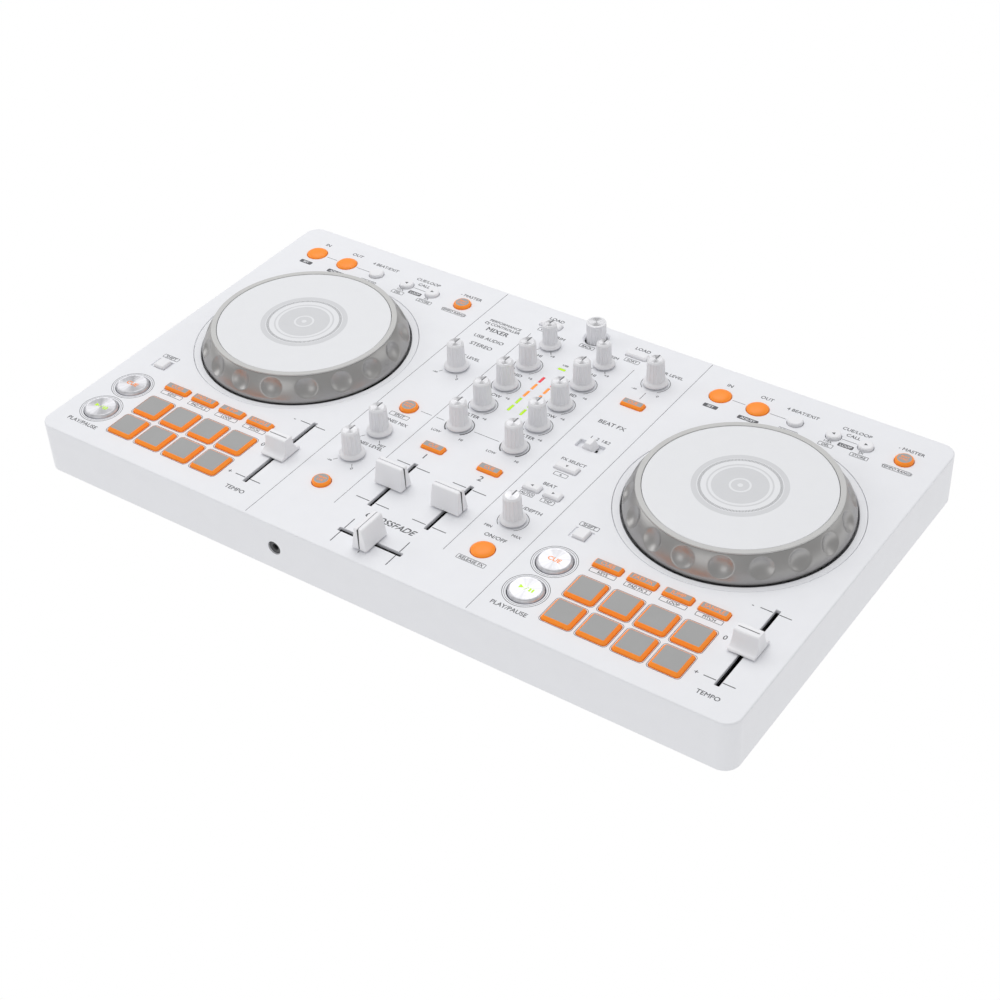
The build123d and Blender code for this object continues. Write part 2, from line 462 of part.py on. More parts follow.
# ---- fader caps, each with its stem and the slider inside its unit ----
LIP_Z = 2.2                      # top of the thin lip round a tempo cap's foot
TEMPO_RIDGE_W = 14.8             # a tempo cap is narrower at its top
for name, (x, y, slot, turn) in FADERS.items():
    lie = deck(x, y).rotated((0, 0, turn))
    tempo = "tempo" in name
    if tempo:
        cap_w, cap_d, cap_top, ridge_d, foot = 16.3, 17.2, 12.3, 7.0, 0.6
    else:
        cap_w, cap_d, cap_top, ridge_d, foot = 19.6, 10.2, 15.4, 5.6, KNOB_GAP
    with BuildPart() as fader_cap:
        if tempo:
            left_end = (lie * Location((-cap_w / 2, 0, 0))).position
            with BuildSketch(Plane(left_end, x_dir=lie.y_dir, z_dir=lie.x_dir)):
                with BuildLine():
                    Polyline((-ridge_d / 2, cap_top - 0.8), (-ridge_d / 2 + 0.8, cap_top),
                             (ridge_d / 2 - 0.8, cap_top), (ridge_d / 2, cap_top - 0.8))
                    ThreePointArc((ridge_d / 2, cap_top - 0.8), (4.8, 4.8), (cap_d / 2, LIP_Z))
                    Polyline((cap_d / 2, LIP_Z), (cap_d / 2, foot), (-cap_d / 2, foot),
                             (-cap_d / 2, LIP_Z))
                    ThreePointArc((-cap_d / 2, LIP_Z), (-4.8, 4.8), (-ridge_d / 2, cap_top - 0.8))
                make_face()
            extrude(amount=cap_w)
            with BuildSketch(lie.offset(foot)):
                Rectangle(cap_w, cap_d)
            with BuildSketch(lie.offset(cap_top)):
                Rectangle(TEMPO_RIDGE_W, cap_d)
            loft(mode=Mode.INTERSECT)
        else:
            with BuildSketch(lie.offset(foot)):
                RectangleRounded(cap_w, cap_d, 1.2)
            with BuildSketch(lie.offset(cap_top)):
                RectangleRounded(cap_w - 1.0, ridge_d, 1.2)
            loft()
            chamfer(fader_cap.faces().sort_by(Axis.Z)[-1].edges(), length=0.6)
        up = (Align.CENTER, Align.CENTER, Align.MIN)
        with Locations(lie.offset(cap_top - 0.7)):
            Box(cap_w + 1, 0.8, 1.0, align=up, mode=Mode.SUBTRACT)
        with Locations(lie.offset(-6.0)):
            Box(1.4, 4.0, foot + 6.0, align=up)
        with Locations(lie.offset(-8.6)):
            Box(5.7, 9.0, 2.8, align=up)
    save(fader_cap.part, name)

# ---- channel select switch ----
GRIP_FOOT, GRIP_TOP = -SWITCH_SINK + 0.3, 4.0
with BuildPart() as channel_select_switch:
    with BuildSketch(deck(SWITCH_X, SWITCH_Y, GRIP_FOOT)):
        RectangleRounded(8.8, 6.8, 0.6)
    with BuildSketch(deck(SWITCH_X, SWITCH_Y, GRIP_TOP)):
        RectangleRounded(3.6, 6.2, 0.6)
    loft()
    block(SWITCH_X, SWITCH_Y, -6.6, GRIP_FOOT, 1.4, 1.4)
save(channel_select_switch.part, "channel_select_switch")

# ---- keys of each deck ----
for side, shift in DECKS.items():
    for name, y in (("cue_button", CUE_Y), ("play_button", PLAY_Y)):
        with BuildPart() as transport_button:
            round_key(TRANSPORT_X + shift, y, TRANSPORT_R, TRANSPORT_RISE, 0.7, 1.2)
        save(transport_button.part, f"{side}_{name}")

    with BuildPart() as shift_button:
        bar_key(TRANSPORT_X + shift, SHIFT_Y, SHIFT_W, SHIFT_D, 0.8, 1.8, 0.6)
    save(shift_button.part, f"{side}_shift_button")

    with BuildPart() as sync_button:
        round_key(SYNC_X + shift, LOOP_Y, SYNC_R, slope=1.0)
    save(sync_button.part, f"{side}_sync_button")

    with BuildPart() as pad_mat:
        block(MIDDLE_PAD_X + shift, PAD_MID_Y, FLANGE_TOP - FLANGE, FLANGE_TOP,
              4 * PITCH - 1, 2 * PITCH - 1, 2)
        for x, y in PADS:
            bar_key(x + shift, y, PAD, PAD, 2.0, slope=1.5, flange=0)
    save(pad_mat.part, f"{side}_pad_mat")

    with BuildPart() as mode_keys:
        block(MIDDLE_PAD_X + shift, MODE_Y, FLANGE_TOP - FLANGE, FLANGE_TOP, 4 * PITCH - 1, MODE_D + 2, 1)
        for x, y in MODES:
            bar_key(x + shift, y, MODE_W, MODE_D, slope=1.0, flange=0)
    save(mode_keys.part, f"{side}_mode_keys")

    with BuildPart() as loop_keys:
        first, last = LOOP_KEYS[0][0] + shift, LOOP_KEYS[-1][0] + shift
        block((first + last) / 2, LOOP_Y, FLANGE_TOP - FLANGE, FLANGE_TOP, last - first, 7.0)
        for x, r in LOOP_KEYS:
            round_key(x + shift, LOOP_Y, r, slope=1.0)
    save(loop_keys.part, f"{side}_loop_keys")

# ---- keys of the mixer ----
for name, places in (("load_buttons", LOAD_KEYS), ("cue_select_buttons", CUE_SELECT)):
    with BuildPart() as oblong_keys:
        for x, y in places:
            bar_key(x, y, BAR_W, BAR_D)
    save(oblong_keys.part, name)

with BuildPart() as effect_keys:
    for x, y, w in EFFECT_KEYS:
        bar_key(x, y, w, BAR_D)
save(effect_keys.part, "effect_keys")

with BuildPart() as assist_buttons:
    for x, y in ASSIST_KEYS:
        round_key(x, y, ASSIST_R, slope=1.0)
save(assist_buttons.part, "assist_buttons")

with BuildPart() as effect_on_button:
    round_key(*EFFECT_ON, EFFECT_ON_R, slope=1.0)
save(effect_on_button.part, "effect_on_button")
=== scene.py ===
"""Looks of a white two-deck DJ controller, built round its CAD frame.

Shapes are worked out in deck millimetres: x to the right and y to the back from the middle of the
case's outline, z up from its top face. piece() turns them into metres in the frame.
"""

import math

import bmesh
import bpy
import numpy as np
from mathutils import Matrix, Vector


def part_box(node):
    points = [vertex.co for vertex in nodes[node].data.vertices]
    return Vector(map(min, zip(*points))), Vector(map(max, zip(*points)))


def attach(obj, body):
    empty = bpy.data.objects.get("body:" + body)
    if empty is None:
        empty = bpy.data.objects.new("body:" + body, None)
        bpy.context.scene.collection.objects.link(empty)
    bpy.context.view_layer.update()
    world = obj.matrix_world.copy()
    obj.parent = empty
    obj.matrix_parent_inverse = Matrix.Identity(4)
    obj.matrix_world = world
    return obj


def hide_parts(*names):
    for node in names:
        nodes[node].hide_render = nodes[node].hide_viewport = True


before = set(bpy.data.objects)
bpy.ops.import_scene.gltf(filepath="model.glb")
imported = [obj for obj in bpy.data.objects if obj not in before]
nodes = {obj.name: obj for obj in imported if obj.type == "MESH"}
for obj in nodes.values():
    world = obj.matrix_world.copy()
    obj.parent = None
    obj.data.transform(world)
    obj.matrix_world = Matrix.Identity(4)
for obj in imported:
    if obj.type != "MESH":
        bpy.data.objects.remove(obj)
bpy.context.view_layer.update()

MM = 0.001
TAU = 2 * math.pi
case_low, case_high = (np.array(corner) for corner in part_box("top_case"))
ORIGIN = np.array([*(case_low + case_high)[:2] / 2, case_high[2]])
WIDTH, DEPTH, SIDE_HEIGHT = (case_high - case_low) / MM
CORNER_R, EDGE_R, WALL, PLATE = 9.5, 1.0, 2.5, 2.5
FIT = 0.35
LIP = 0.3


# ---- where the frame has its parts ----
def low_high(node):
    """Lowest and highest corner of a CAD node, in deck millimetres."""
    return tuple((np.array(corner) - ORIGIN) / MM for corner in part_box(node))


def top_of(node):
    """Height of a CAD node's top, in deck millimetres."""
    return low_high(node)[1][2]


def middle(node):
    """The middle of a CAD node seen from above, in deck millimetres."""
    low, high = low_high(node)
    return tuple((low + high)[:2] / 2)


SIDES = ("left", "right")
JOG = {side: middle(f"{side}_jog_rim") for side in SIDES}
SHIFT = {side: JOG[side][0] - JOG["right"][0] for side in SIDES}
KNOBS = sorted(n for n in nodes if n.endswith(("_knob", "_knob_1", "_knob_2")) and n != "browse_knob")
SMALL_KNOBS = ("trim_knob_1", "trim_knob_2")
BROWSE = middle("browse_knob")
TEMPO = {side: middle(f"{side}_tempo_fader_cap") for side in SIDES}
CHANNEL = {n: middle(f"channel_fader_cap_{n}") for n in (1, 2)}
CROSS = middle("crossfader_cap")
SWITCH = middle("channel_select_switch")
EFFECT_ON = middle("effect_on_button")
TRANSPORT_X = middle("right_play_button")[0]
PAD_MIDDLE = middle("right_pad_mat")
MODE_MIDDLE = middle("right_mode_keys")
LOOP_Y = middle("right_loop_keys")[1]
SYNC = middle("right_sync_button")

# ---- sizes of the controls ----
PITCH, PAD = 22.1, 18.5
PADS = [(PAD_MIDDLE[0] + PITCH * i, PAD_MIDDLE[1] + PITCH * j)
        for j in (0.5, -0.5) for i in (-1.5, -0.5, 0.5, 1.5)]
MODES = [(MODE_MIDDLE[0] + PITCH * i, MODE_MIDDLE[1]) for i in (-1.5, -0.5, 0.5, 1.5)]
MODE_SIZE, BAR_SIZE, SHORT_BAR = (17.8, 6.2), (15.0, 6.2), (11.0, 6.2)
LOOP_KEYS = [(97.2, 6.8), (122.7, 6.8), (148.0, 4.8), (173.3, 4.6), (194.1, 4.6)]
LOAD = [(-32.3, 116.0), (32.3, 116.0)]
CUE_SELECT = [(-20.2, -27.9), (20.1, -27.9), (57.1, 70.2)]
EFFECT_KEYS = [(57.3, -2.7, *BAR_SIZE), (50.2, -28.0, *SHORT_BAR), (64.4, -28.0, *SHORT_BAR)]
ASSIST = [(-57.0, -3.0), (-57.0, -87.4)]
SYNC_R, ASSIST_R, EFFECT_ON_R, TRANSPORT_R = 5.6, 5.6, 6.9, 10.4
KEY_RISE, KEY_FOOT = 2.1, -3.0
WORDS_Z, HALF_LINE = KEY_RISE + 0.04, 1.2
JOG_HOLE_R, KNOB_HOLE_R, BROWSE_HOLE_R = 71.7, 3.9, 8.7
SHIFT_HOLE, SWITCH_HOLE = (12.4, 9.4, 0.8), (17.5, 7.6, 1.0)
BAND = 3.0
SLOT_W, TEMPO_SLOT, CHANNEL_SLOT, CROSS_SLOT = 3.0, 66.3, 45.3, 44.2
METER_X, METER_ROWS = 4.5, (29.5, 38.0, 46.4, 55.0, 63.3)
LENS, LAMP = (1.6, 6.2), (5.0, 1.8)
LAMP_PLACE = (0.0, 79.0)


# ---- surfaces ----
def grid(points, wrap=False):
    """Quads over a grid of points, rows by columns. wrap joins the last column to the first."""
    rows, columns = points.shape[:2]
    index = np.arange(rows * columns).reshape(rows, columns)
    here, beside = (index, np.roll(index, -1, axis=1)) if wrap else (index[:, :-1], index[:, 1:])
    quads = np.stack([here[:-1], beside[:-1], beside[1:], here[1:]], axis=-1)
    return points.reshape(-1, 3), quads.reshape(-1, 4)


def soften(line, radius, steps=4):
    """The line with each inner corner cut by a parabola that starts and ends radius away from it, or
    less where a run is short."""
    line = np.asarray(line, float)
    t = np.linspace(0, 1, steps + 1)[:, None]
    parts = [line[:1]]
    for before, corner, after in zip(line[:-2], line[1:-1], line[2:]):
        back, on = before - corner, after - corner
        start = corner + back * min(0.5, radius / max(np.hypot(*back), 1e-9))
        end = corner + on * min(0.5, radius / max(np.hypot(*on), 1e-9))
        parts.append((1 - t) ** 2 * start + 2 * t * (1 - t) * corner + t**2 * end)
    return np.vstack([*parts, line[-1:]])


def turned(x, y, profile, around=96, shape=None):
    """Surface of revolution: a profile of (radius, height) carried round the upright axis at x, y.
    shape(angle, radius, height) may change the radius from place to place."""
    angle = np.linspace(0, TAU, around, endpoint=False)[None, :]
    radius, height = (np.repeat(column[:, None], around, axis=1) for column in np.asarray(profile).T)
    if shape is not None:
        radius = shape(angle, radius, height)
    points = np.stack([x + radius * np.cos(angle), y + radius * np.sin(angle), height], -1)
    return grid(points, wrap=True)


def arc(x, y, r, start, end, steps=24):
    """Points on a circle from one angle to another, in degrees."""
    angle = np.radians(np.linspace(start, end, steps + 1))
    return np.stack([x + r * np.cos(angle), y + r * np.sin(angle)], -1)


def outline(w, d, r, steps=6):
    """Plan of a w by d rectangle whose corners are quarter circles of radius r, from the back right."""
    r = max(min(r, w / 2, d / 2), 0.02)
    x, y = w / 2 - r, d / 2 - r
    corners = ((x, y, 0), (-x, y, 90), (-x, -y, 180), (x, -y, 270))
    return np.vstack([arc(cx, cy, r, a, a + 90, steps) for cx, cy, a in corners])


def level(plan, z):
    """A plan line at height z."""
    return np.c_[plan, np.full(len(plan), z)]


def capped(rings):
    """Surface through level rings, closed by a point in the middle of each end ring."""
    ends = [np.tile(ring.mean(axis=0), (len(ring), 1)) for ring in (rings[0], rings[-1])]
    return grid(np.stack([ends[0], *rings, ends[1]]), wrap=True)


def lofted(x, y, w, d, r, profile, steps=6):
    """Rounded rectangle carried along a profile of (inset, height), closed at both ends."""
    return capped([level(outline(w - 2 * inset, d - 2 * inset, r - inset, steps) + (x, y), z)
                   for inset, z in profile])


def strip(left, right, low, high, closed=False):
    """Flat band between two plan lines, from height low up to high. A closed line joins its own start;
    an open one is closed by a face at each end."""
    left, right = np.asarray(left, float), np.asarray(right, float)
    if closed:
        left, right = np.vstack([left, left[:1]]), np.vstack([right, right[:1]])
    section = [level(left, low), level(left, high), level(right, high), level(right, low)]
    points, quads = grid(np.stack(section, axis=1), wrap=True)
    if not closed:
        last = len(points) - 4
        quads = np.vstack([quads, [[0, 1, 2, 3], [last, last + 1, last + 2, last + 3]]])
    return points, quads


def moved(shape, x=0.0, y=0.0, z=0.0):
    """The shape carried by x, y, z."""
    return shape[0] + (x, y, z), shape[1]


def facing(shape, x, z, back):
    """A shape turned about the upright axis at 0, 0, laid down so that its axis runs out of the front
    or back wall at x, z."""
    wall = DEPTH / 2 if back else -DEPTH / 2
    across, up, out = shape[0].T
    return np.stack([x + across, wall + (out if back else -out), z + up], -1), shape[1]


# ---- meshes and finishes ----
SHARP, LEVEL_FACE = math.radians(35), 0.9995


def read(items, name, width=3, kind=float):
    """One property of every item as an array, width numbers to a row."""
    values = np.empty(len(items) * width, kind)
    items.foreach_get(name, values)
    return values.reshape(-1, width)


def piece(name, shapes, material, body, replaced=(), flat=False, spun=None):
    """Joins shapes into one closed mesh that rides on a CAD body. Doubles are merged before the
    normals are recalculated. Level faces stay flat, and edges over 35 degrees stay sharp. spun is the
    middle of a polar UV map: angle, and radius in centimetres."""
    starts = np.cumsum([0] + [len(points) for points, faces in shapes[:-1]])
    points = np.vstack([points for points, faces in shapes]) * MM + ORIGIN
    faces = [f for start, (p, q) in zip(starts, shapes) for f in (q + start).tolist()]
    mesh = bpy.data.meshes.new(name)
    mesh.from_pydata(points.tolist(), [], faces)
    soup = bmesh.new()
    soup.from_mesh(mesh)
    bmesh.ops.remove_doubles(soup, verts=soup.verts, dist=1e-6)
    bmesh.ops.dissolve_degenerate(soup, edges=soup.edges, dist=1e-7)
    bmesh.ops.recalc_face_normals(soup, faces=soup.faces)
    soup.to_mesh(mesh)
    soup.free()
    if flat:
        mesh.shade_flat()
    else:
        mesh.shade_smooth()
        mesh.set_sharp_from_angle(angle=SHARP)
        mesh.polygons.foreach_set("use_smooth", np.abs(read(mesh.polygons, "normal")[:, 2]) < LEVEL_FACE)
    if spun is not None:
        polar_map(mesh, spun)
    mesh.materials.append(material)
    made = bpy.data.objects.new(name, mesh)
    bpy.context.scene.collection.objects.link(made)
    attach(made, body)
    if replaced:
        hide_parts(*replaced)
    return made


def polar_map(mesh, centre):
    """UV map whose u is the angle about centre as a share of a turn, kept within half a turn of the
    angle of the face's own middle, and whose v is the distance from centre in centimetres."""
    centre = np.array([*centre, 0.0]) * MM + ORIGIN
    owner = np.repeat(np.arange(len(mesh.polygons)), [p.loop_total for p in mesh.polygons])
    corner = read(mesh.loops, "vertex_index", 1, int)[:, 0]
    x, y, _ = (read(mesh.vertices, "co")[corner] - centre).T
    mid_x, mid_y, _ = (read(mesh.polygons, "center")[owner] - centre).T
    radius, own = np.hypot(x, y), np.arctan2(mid_y, mid_x)
    angle = (np.arctan2(y, x) - own + math.pi) % TAU - math.pi
    angle = np.where(radius < 1e-6, 0, angle)
    layer = mesh.uv_layers.new(name="polar")
    layer.data.foreach_set("uv", np.c_[(own + angle) / TAU, radius * 100].ravel())


def linear(red, green, blue):
    """Linear colour of an sRGB colour given as 0 to 255."""
    share = np.array([red, green, blue]) / 255
    light = np.where(share <= 0.04045, share / 12.92, ((share + 0.055) / 1.055) ** 2.4)
    return (*light.tolist(), 1.0)


def nodes_of(material):
    """The material's node tree and its shader."""
    material.use_nodes = True
    tree = material.node_tree
    return tree, tree.nodes["Principled BSDF"]


def feed(tree, shader, inputs):
    """Sets each input of a shader node to its value, or links it where the value is an output."""
    for name, value in inputs.items():
        if isinstance(value, bpy.types.NodeSocket):
            tree.links.new(value, shader.inputs[name])
        else:
            shader.inputs[name].default_value = value


def add_node(tree, kind, inputs, output, **settings):
    """New shader node with its settings made and its inputs fed. Returns the named output."""
    made = tree.nodes.new("ShaderNode" + kind)
    for setting, value in settings.items():
        setattr(made, setting, value)
    feed(tree, made, inputs)
    return made.outputs[output]


def tinted(tree, drive, colour, shares):
    """Colour that runs from one share of an sRGB colour to another while drive goes from 0.3 to 0.7."""
    ramp = tree.nodes.new("ShaderNodeValToRGB")
    tree.links.new(drive, ramp.inputs["Fac"])
    pure = np.array(linear(*colour)[:3])
    for stop, place, share in zip(ramp.color_ramp.elements, (0.3, 0.7), shares):
        stop.position = place
        stop.color = (*np.minimum(pure * share, 1).tolist(), 1)
    return ramp.outputs["Color"]


DRIFT_SCALE = 90.0
SUBSURFACE_RADIUS = (0.002, 0.001, 0.0005)


def finish(name, colour, rough, metal=0.0, mottle=0.02, grain=2500.0, bump=0.004, coat=0.0, painted_glow=0.0,
           soft=0.0, specular=0.5, uneven=0.05):
    """A moulded, painted or plated finish. Its colour drifts by mottle over about a centimetre, its
    roughness by uneven, and a fine grain lifts the surface by bump millimetres. Where given, the colour
    is also given off as light of its own: painted light that brightens a part that is no lamp."""
    material = bpy.data.materials.new(name)
    tree, shader = nodes_of(material)
    place = add_node(tree, "TexCoord", {}, "Object")
    drift = add_node(tree, "TexNoise", {"Vector": place, "Scale": DRIFT_SCALE, "Detail": 3.0}, "Fac")
    fine = add_node(tree, "TexNoise", {"Vector": place, "Scale": grain, "Detail": 2.0}, "Fac")
    gloss = {"Value": fine, "To Min": max(rough - uneven, 0.02), "To Max": rough + uneven}
    lift = {"Height": fine, "Strength": 1.0, "Distance": bump * MM}
    feed(tree, shader, {
        "Base Color": tinted(tree, drift, colour, (1 - mottle, 1 + mottle)),
        "Roughness": add_node(tree, "MapRange", gloss, "Result"),
        "Normal": add_node(tree, "Bump", lift, "Normal"),
        "Metallic": metal,
        "Specular IOR Level": specular,
        "Coat Weight": coat,
        "Coat Roughness": 0.15,
    })
    if soft:
        feed(tree, shader, {"Subsurface Weight": soft, "Subsurface Radius": SUBSURFACE_RADIUS,
                            "Subsurface Scale": 1.0})
    # Painted light: the colour is given off as light, though the part is no lamp.
    if painted_glow:
        feed(tree, shader, {"Emission Color": linear(*colour), "Emission Strength": painted_glow})
    return material


BANDS_PER_UNIT = 3.2


def spun_finish(name, colour, rough, pitch=0.12):
    """Lathe-turned metal: fine rings about pitch millimetres apart on the piece's polar map, a gloss
    stretched across them, and a painted sheen: the colour grows lighter and darker with the angle about
    the middle, in wedges that stand in for the fan highlights of spun metal."""
    material = finish(name, colour, rough, metal=1.0, mottle=0.01, bump=0.0, uneven=0.02)
    tree, shader = nodes_of(material)
    polar = add_node(tree, "UVMap", {}, "UV", uv_map="polar")
    bands = {"Vector": polar, "Scale": 10 / pitch / BANDS_PER_UNIT, "Distortion": 0.0}
    rings = add_node(tree, "TexWave", bands, "Fac", bands_direction="Y")
    lift = {"Height": rings, "Strength": 0.15, "Distance": 0.01 * MM}
    # Painted sheen: noise over the angle about the middle makes the colour lighter and darker in wedges,
    # in place of the fan highlights that spun metal shows.
    share = add_node(tree, "SeparateXYZ", {"Vector": polar}, "X")
    turn = add_node(tree, "Math", {0: share, 1: TAU}, "Value", operation="MULTIPLY")
    ray = {axis: add_node(tree, "Math", {0: turn}, "Value", operation=wave)
           for axis, wave in (("X", "COSINE"), ("Y", "SINE"))}
    painted_sheen_noise = {"Vector": add_node(tree, "CombineXYZ", ray, "Vector"), "Scale": 3.2, "Detail": 3.0}
    painted_sheen = add_node(tree, "TexNoise", painted_sheen_noise, "Fac")
    feed(tree, shader, {
        "Base Color": tinted(tree, painted_sheen, colour, (0.88, 1.08)),
        "Normal": add_node(tree, "Bump", lift, "Normal"),
        "Tangent": add_node(tree, "Tangent", {}, "Tangent", direction_type="UV_MAP", uv_map="polar"),
        "Anisotropic": 0.85,
    })
    return material


case_paint = finish("case_paint", (236, 237, 241), 0.42, mottle=0.008, grain=2600, bump=0.010)
knob_plastic = finish("knob_plastic", (232, 232, 235), 0.30, mottle=0.01, grain=3000, bump=0.003)
cap_plastic = finish("cap_plastic", (240, 240, 243), 0.34, mottle=0.008, grain=3000)
key_plastic = finish("key_plastic", (238, 238, 241), 0.36, mottle=0.008, grain=3000)
# orange_rubber gives off painted light of its own that brightens the orange keys, which are no lamps.
orange_rubber = finish("orange_rubber", (250, 140, 28), 0.40, mottle=0.03, grain=2200, bump=0.005,
                       painted_glow=0.12, soft=0.05)
pad_rubber = finish("pad_rubber", (163, 163, 163), 0.55, mottle=0.015, grain=2600, bump=0.012)
rim_metal = finish("rim_metal", (172, 171, 170), 0.34, metal=1.0, grain=2600, bump=0.001, uneven=0.03)
grip_plastic = finish("grip_plastic", (198, 198, 197), 0.45, grain=3200, bump=0.008)
jog_plastic = finish("jog_plastic", (230, 231, 234), 0.40, mottle=0.006, grain=2400, bump=0.005)
jog_print_light = finish("jog_print_light", (211, 212, 215), 0.44, mottle=0.01)
jog_print_dark = finish("jog_print_dark", (150, 151, 154), 0.4, mottle=0.03)
print_grey = finish("print_grey", (92, 93, 97), 0.55, mottle=0.03)
print_pale = finish("print_pale", (140, 141, 145), 0.55, mottle=0.03)
print_white = finish("print_white", (228, 229, 233), 0.5, mottle=0.01, bump=0.003)
# The orange and green print give off painted light of their own that brightens them.
print_orange = finish("print_orange", (246, 138, 52), 0.4, bump=0.003, painted_glow=0.15)
print_green = finish("print_green", (178, 222, 20), 0.4, bump=0.003, painted_glow=0.35)
pointer_grey = finish("pointer_grey", (112, 113, 117), 0.45, mottle=0.03)
dark_gap = finish("dark_gap", (70, 71, 73), 0.6, mottle=0.05)
black_plastic = finish("black_plastic", (30, 31, 33), 0.4, mottle=0.1, bump=0.010)
jack_plastic = finish("jack_plastic", (62, 63, 66), 0.42, mottle=0.05, bump=0.008)
tray_plastic = finish("tray_plastic", (214, 215, 218), 0.5, grain=1400, bump=0.02)
foot_rubber = finish("foot_rubber", (58, 58, 60), 0.75, mottle=0.08, grain=1600, bump=0.03)
steel = finish("steel", (176, 177, 180), 0.3, metal=1.0, mottle=0.05, grain=1500, bump=0.006)
dark_steel = finish("dark_steel", (92, 93, 96), 0.4, metal=1.0, mottle=0.06, bump=0.008)
board_green = finish("board_green", (28, 74, 48), 0.4, mottle=0.12, grain=700, bump=0.01, coat=0.4)
socket_red = finish("socket_red", (190, 40, 44), 0.35, mottle=0.03, bump=0.006)
socket_white = finish("socket_white", (226, 226, 226), 0.35, bump=0.006)
gold_plate = finish("gold_plate", (214, 180, 110), 0.25, metal=1.0, mottle=0.04)
# The meter lenses give off painted light of their own that brightens their colour.
lens_green = finish("lens_green", (178, 222, 22), 0.25, bump=0.002, painted_glow=0.25)
lens_orange = finish("lens_orange", (250, 150, 60), 0.2, bump=0.002, painted_glow=0.25)
lens_red = finish("lens_red", (226, 62, 74), 0.2, bump=0.002, painted_glow=0.25)
# Both spun metals carry a painted sheen of lighter and darker wedges round their middle.
transport_metal = spun_finish("transport_metal", (222, 222, 226), 0.36)
knob_top_metal = spun_finish("knob_top_metal", (222, 222, 225), 0.30, pitch=0.1)


# ---- case ----
def panel(outer, holes, thick, lip=0.0):
    """Plate cut from a plan: an outer line and holes, thick from back to front, its edges rounded by
    lip. The front face lies at height 0."""
    curve = bpy.data.curves.new("panel", "CURVE")
    curve.dimensions = "2D"
    curve.fill_mode = "BOTH"
    curve.extrude = thick / 2 - lip
    curve.bevel_depth = lip
    curve.bevel_resolution = 2
    curve.offset = -lip
    for line in (outer, *holes):
        spline = curve.splines.new("POLY")
        spline.points.add(len(line) - 1)
        spline.points.foreach_set("co", np.c_[line, np.zeros(len(line)), np.ones(len(line))].ravel())
        spline.use_cyclic_u = True
    return moved(solid_of(curve), z=-thick / 2)


def solid_of(curve):
    """Points and triangles of a curve or text, read through a holder object that is then deleted."""
    holder = bpy.data.objects.new("holder", curve)
    mesh = bpy.data.meshes.new_from_object(holder)
    mesh.calc_loop_triangles()
    solid = read(mesh.vertices, "co"), read(mesh.loop_triangles, "vertices", 3, int)
    bpy.data.objects.remove(holder)
    bpy.data.meshes.remove(mesh)
    return solid


def ring_line(x, y, r, steps=64):
    """Closed circle of points."""
    return arc(x, y, r, 0, 360, steps)[:-1]


def box_line(x, y, w, d, r):
    """Closed rounded rectangle of points."""
    return outline(w, d, r, 5) + (x, y)


def plate_holes():
    """Plan lines of every opening in the top face."""
    holes = []
    for side in SIDES:
        shift = SHIFT[side]
        rounds = [(x + shift, LOOP_Y, r) for x, r in LOOP_KEYS] + [(SYNC[0] + shift, SYNC[1], SYNC_R)]
        boxes = [(x + shift, y, PAD, PAD, 2.2) for x, y in PADS]
        boxes += [(x + shift, y, *MODE_SIZE, 1.5) for x, y in MODES]
        holes.append(ring_line(*JOG[side], JOG_HOLE_R, 240))
        holes += [ring_line(x, y, r + FIT) for x, y, r in rounds]
        holes += [ring_line(*middle(f"{side}_{key}_button"), TRANSPORT_R + 0.5, 96)
                  for key in ("cue", "play")]
        holes.append(box_line(*middle(f"{side}_shift_button"), *SHIFT_HOLE))
        holes += [box_line(x, y, w + 2 * FIT, d + 2 * FIT, r) for x, y, w, d, r in boxes]
        holes.append(box_line(*TEMPO[side], SLOT_W, TEMPO_SLOT, 0.5))
    holes += [ring_line(*middle(name), KNOB_HOLE_R, 32) for name in KNOBS]
    holes.append(ring_line(*BROWSE, BROWSE_HOLE_R))
    bars = [(x, y, *BAR_SIZE) for x, y in LOAD + CUE_SELECT] + EFFECT_KEYS
    holes += [box_line(x, y, w + 2 * FIT, d + 2 * FIT, 1.5) for x, y, w, d in bars]
    holes += [ring_line(x, y, r + FIT) for (x, y), r in
              [(place, ASSIST_R) for place in ASSIST] + [(EFFECT_ON, EFFECT_ON_R)]]
    holes.append(box_line(*SWITCH, *SWITCH_HOLE))
    holes += [box_line(*CHANNEL[n], SLOT_W, CHANNEL_SLOT, 0.5) for n in (1, 2)]
    holes.append(box_line(*CROSS, CROSS_SLOT, SLOT_W, 0.5))
    lenses = [(x, y, *LENS) for y in METER_ROWS for x in (-METER_X, METER_X)] + [(*LAMP_PLACE, *LAMP)]
    return holes + [box_line(x, y, w + 0.2, d + 0.2, 0.3) for x, y, w, d in lenses]


def edge_band():
    """Rounded edge all round the top face: the case's plan carried along a closed section, a quarter
    circle outside and two steps inside."""
    turn = np.radians(np.linspace(0, 90, 9))
    section = [*zip(EDGE_R - EDGE_R * np.sin(turn), EDGE_R * np.cos(turn) - EDGE_R)]
    under = -LIP - 0.05
    section += [(0, -BAND), (WALL, -BAND), (WALL, under), (EDGE_R, under), section[0]]
    rings = [level(outline(WIDTH - 2 * inset, DEPTH - 2 * inset, CORNER_R - inset, 16), z)
             for inset, z in section]
    return grid(np.stack(rings), wrap=True)


WALL_RUN = 10.0


def side_wall(sign):
    """Wall at one side with both round corners and a short run of the front and back walls: two plan
    lines a wall's thickness apart, from under the edge band to the foot."""
    x, y = WIDTH / 2 - CORNER_R, DEPTH / 2 - CORNER_R

    def plan(r):
        front, back = [(x - WALL_RUN, -y - r)], [(x - WALL_RUN, y + r)]
        line = [front, arc(x, -y, r, -90, 0, 16), arc(x, y, r, 0, 90, 16), back]
        return np.vstack(line) * (sign, 1)

    return strip(plan(CORNER_R), plan(CORNER_R - WALL), -SIDE_HEIGHT, -BAND)


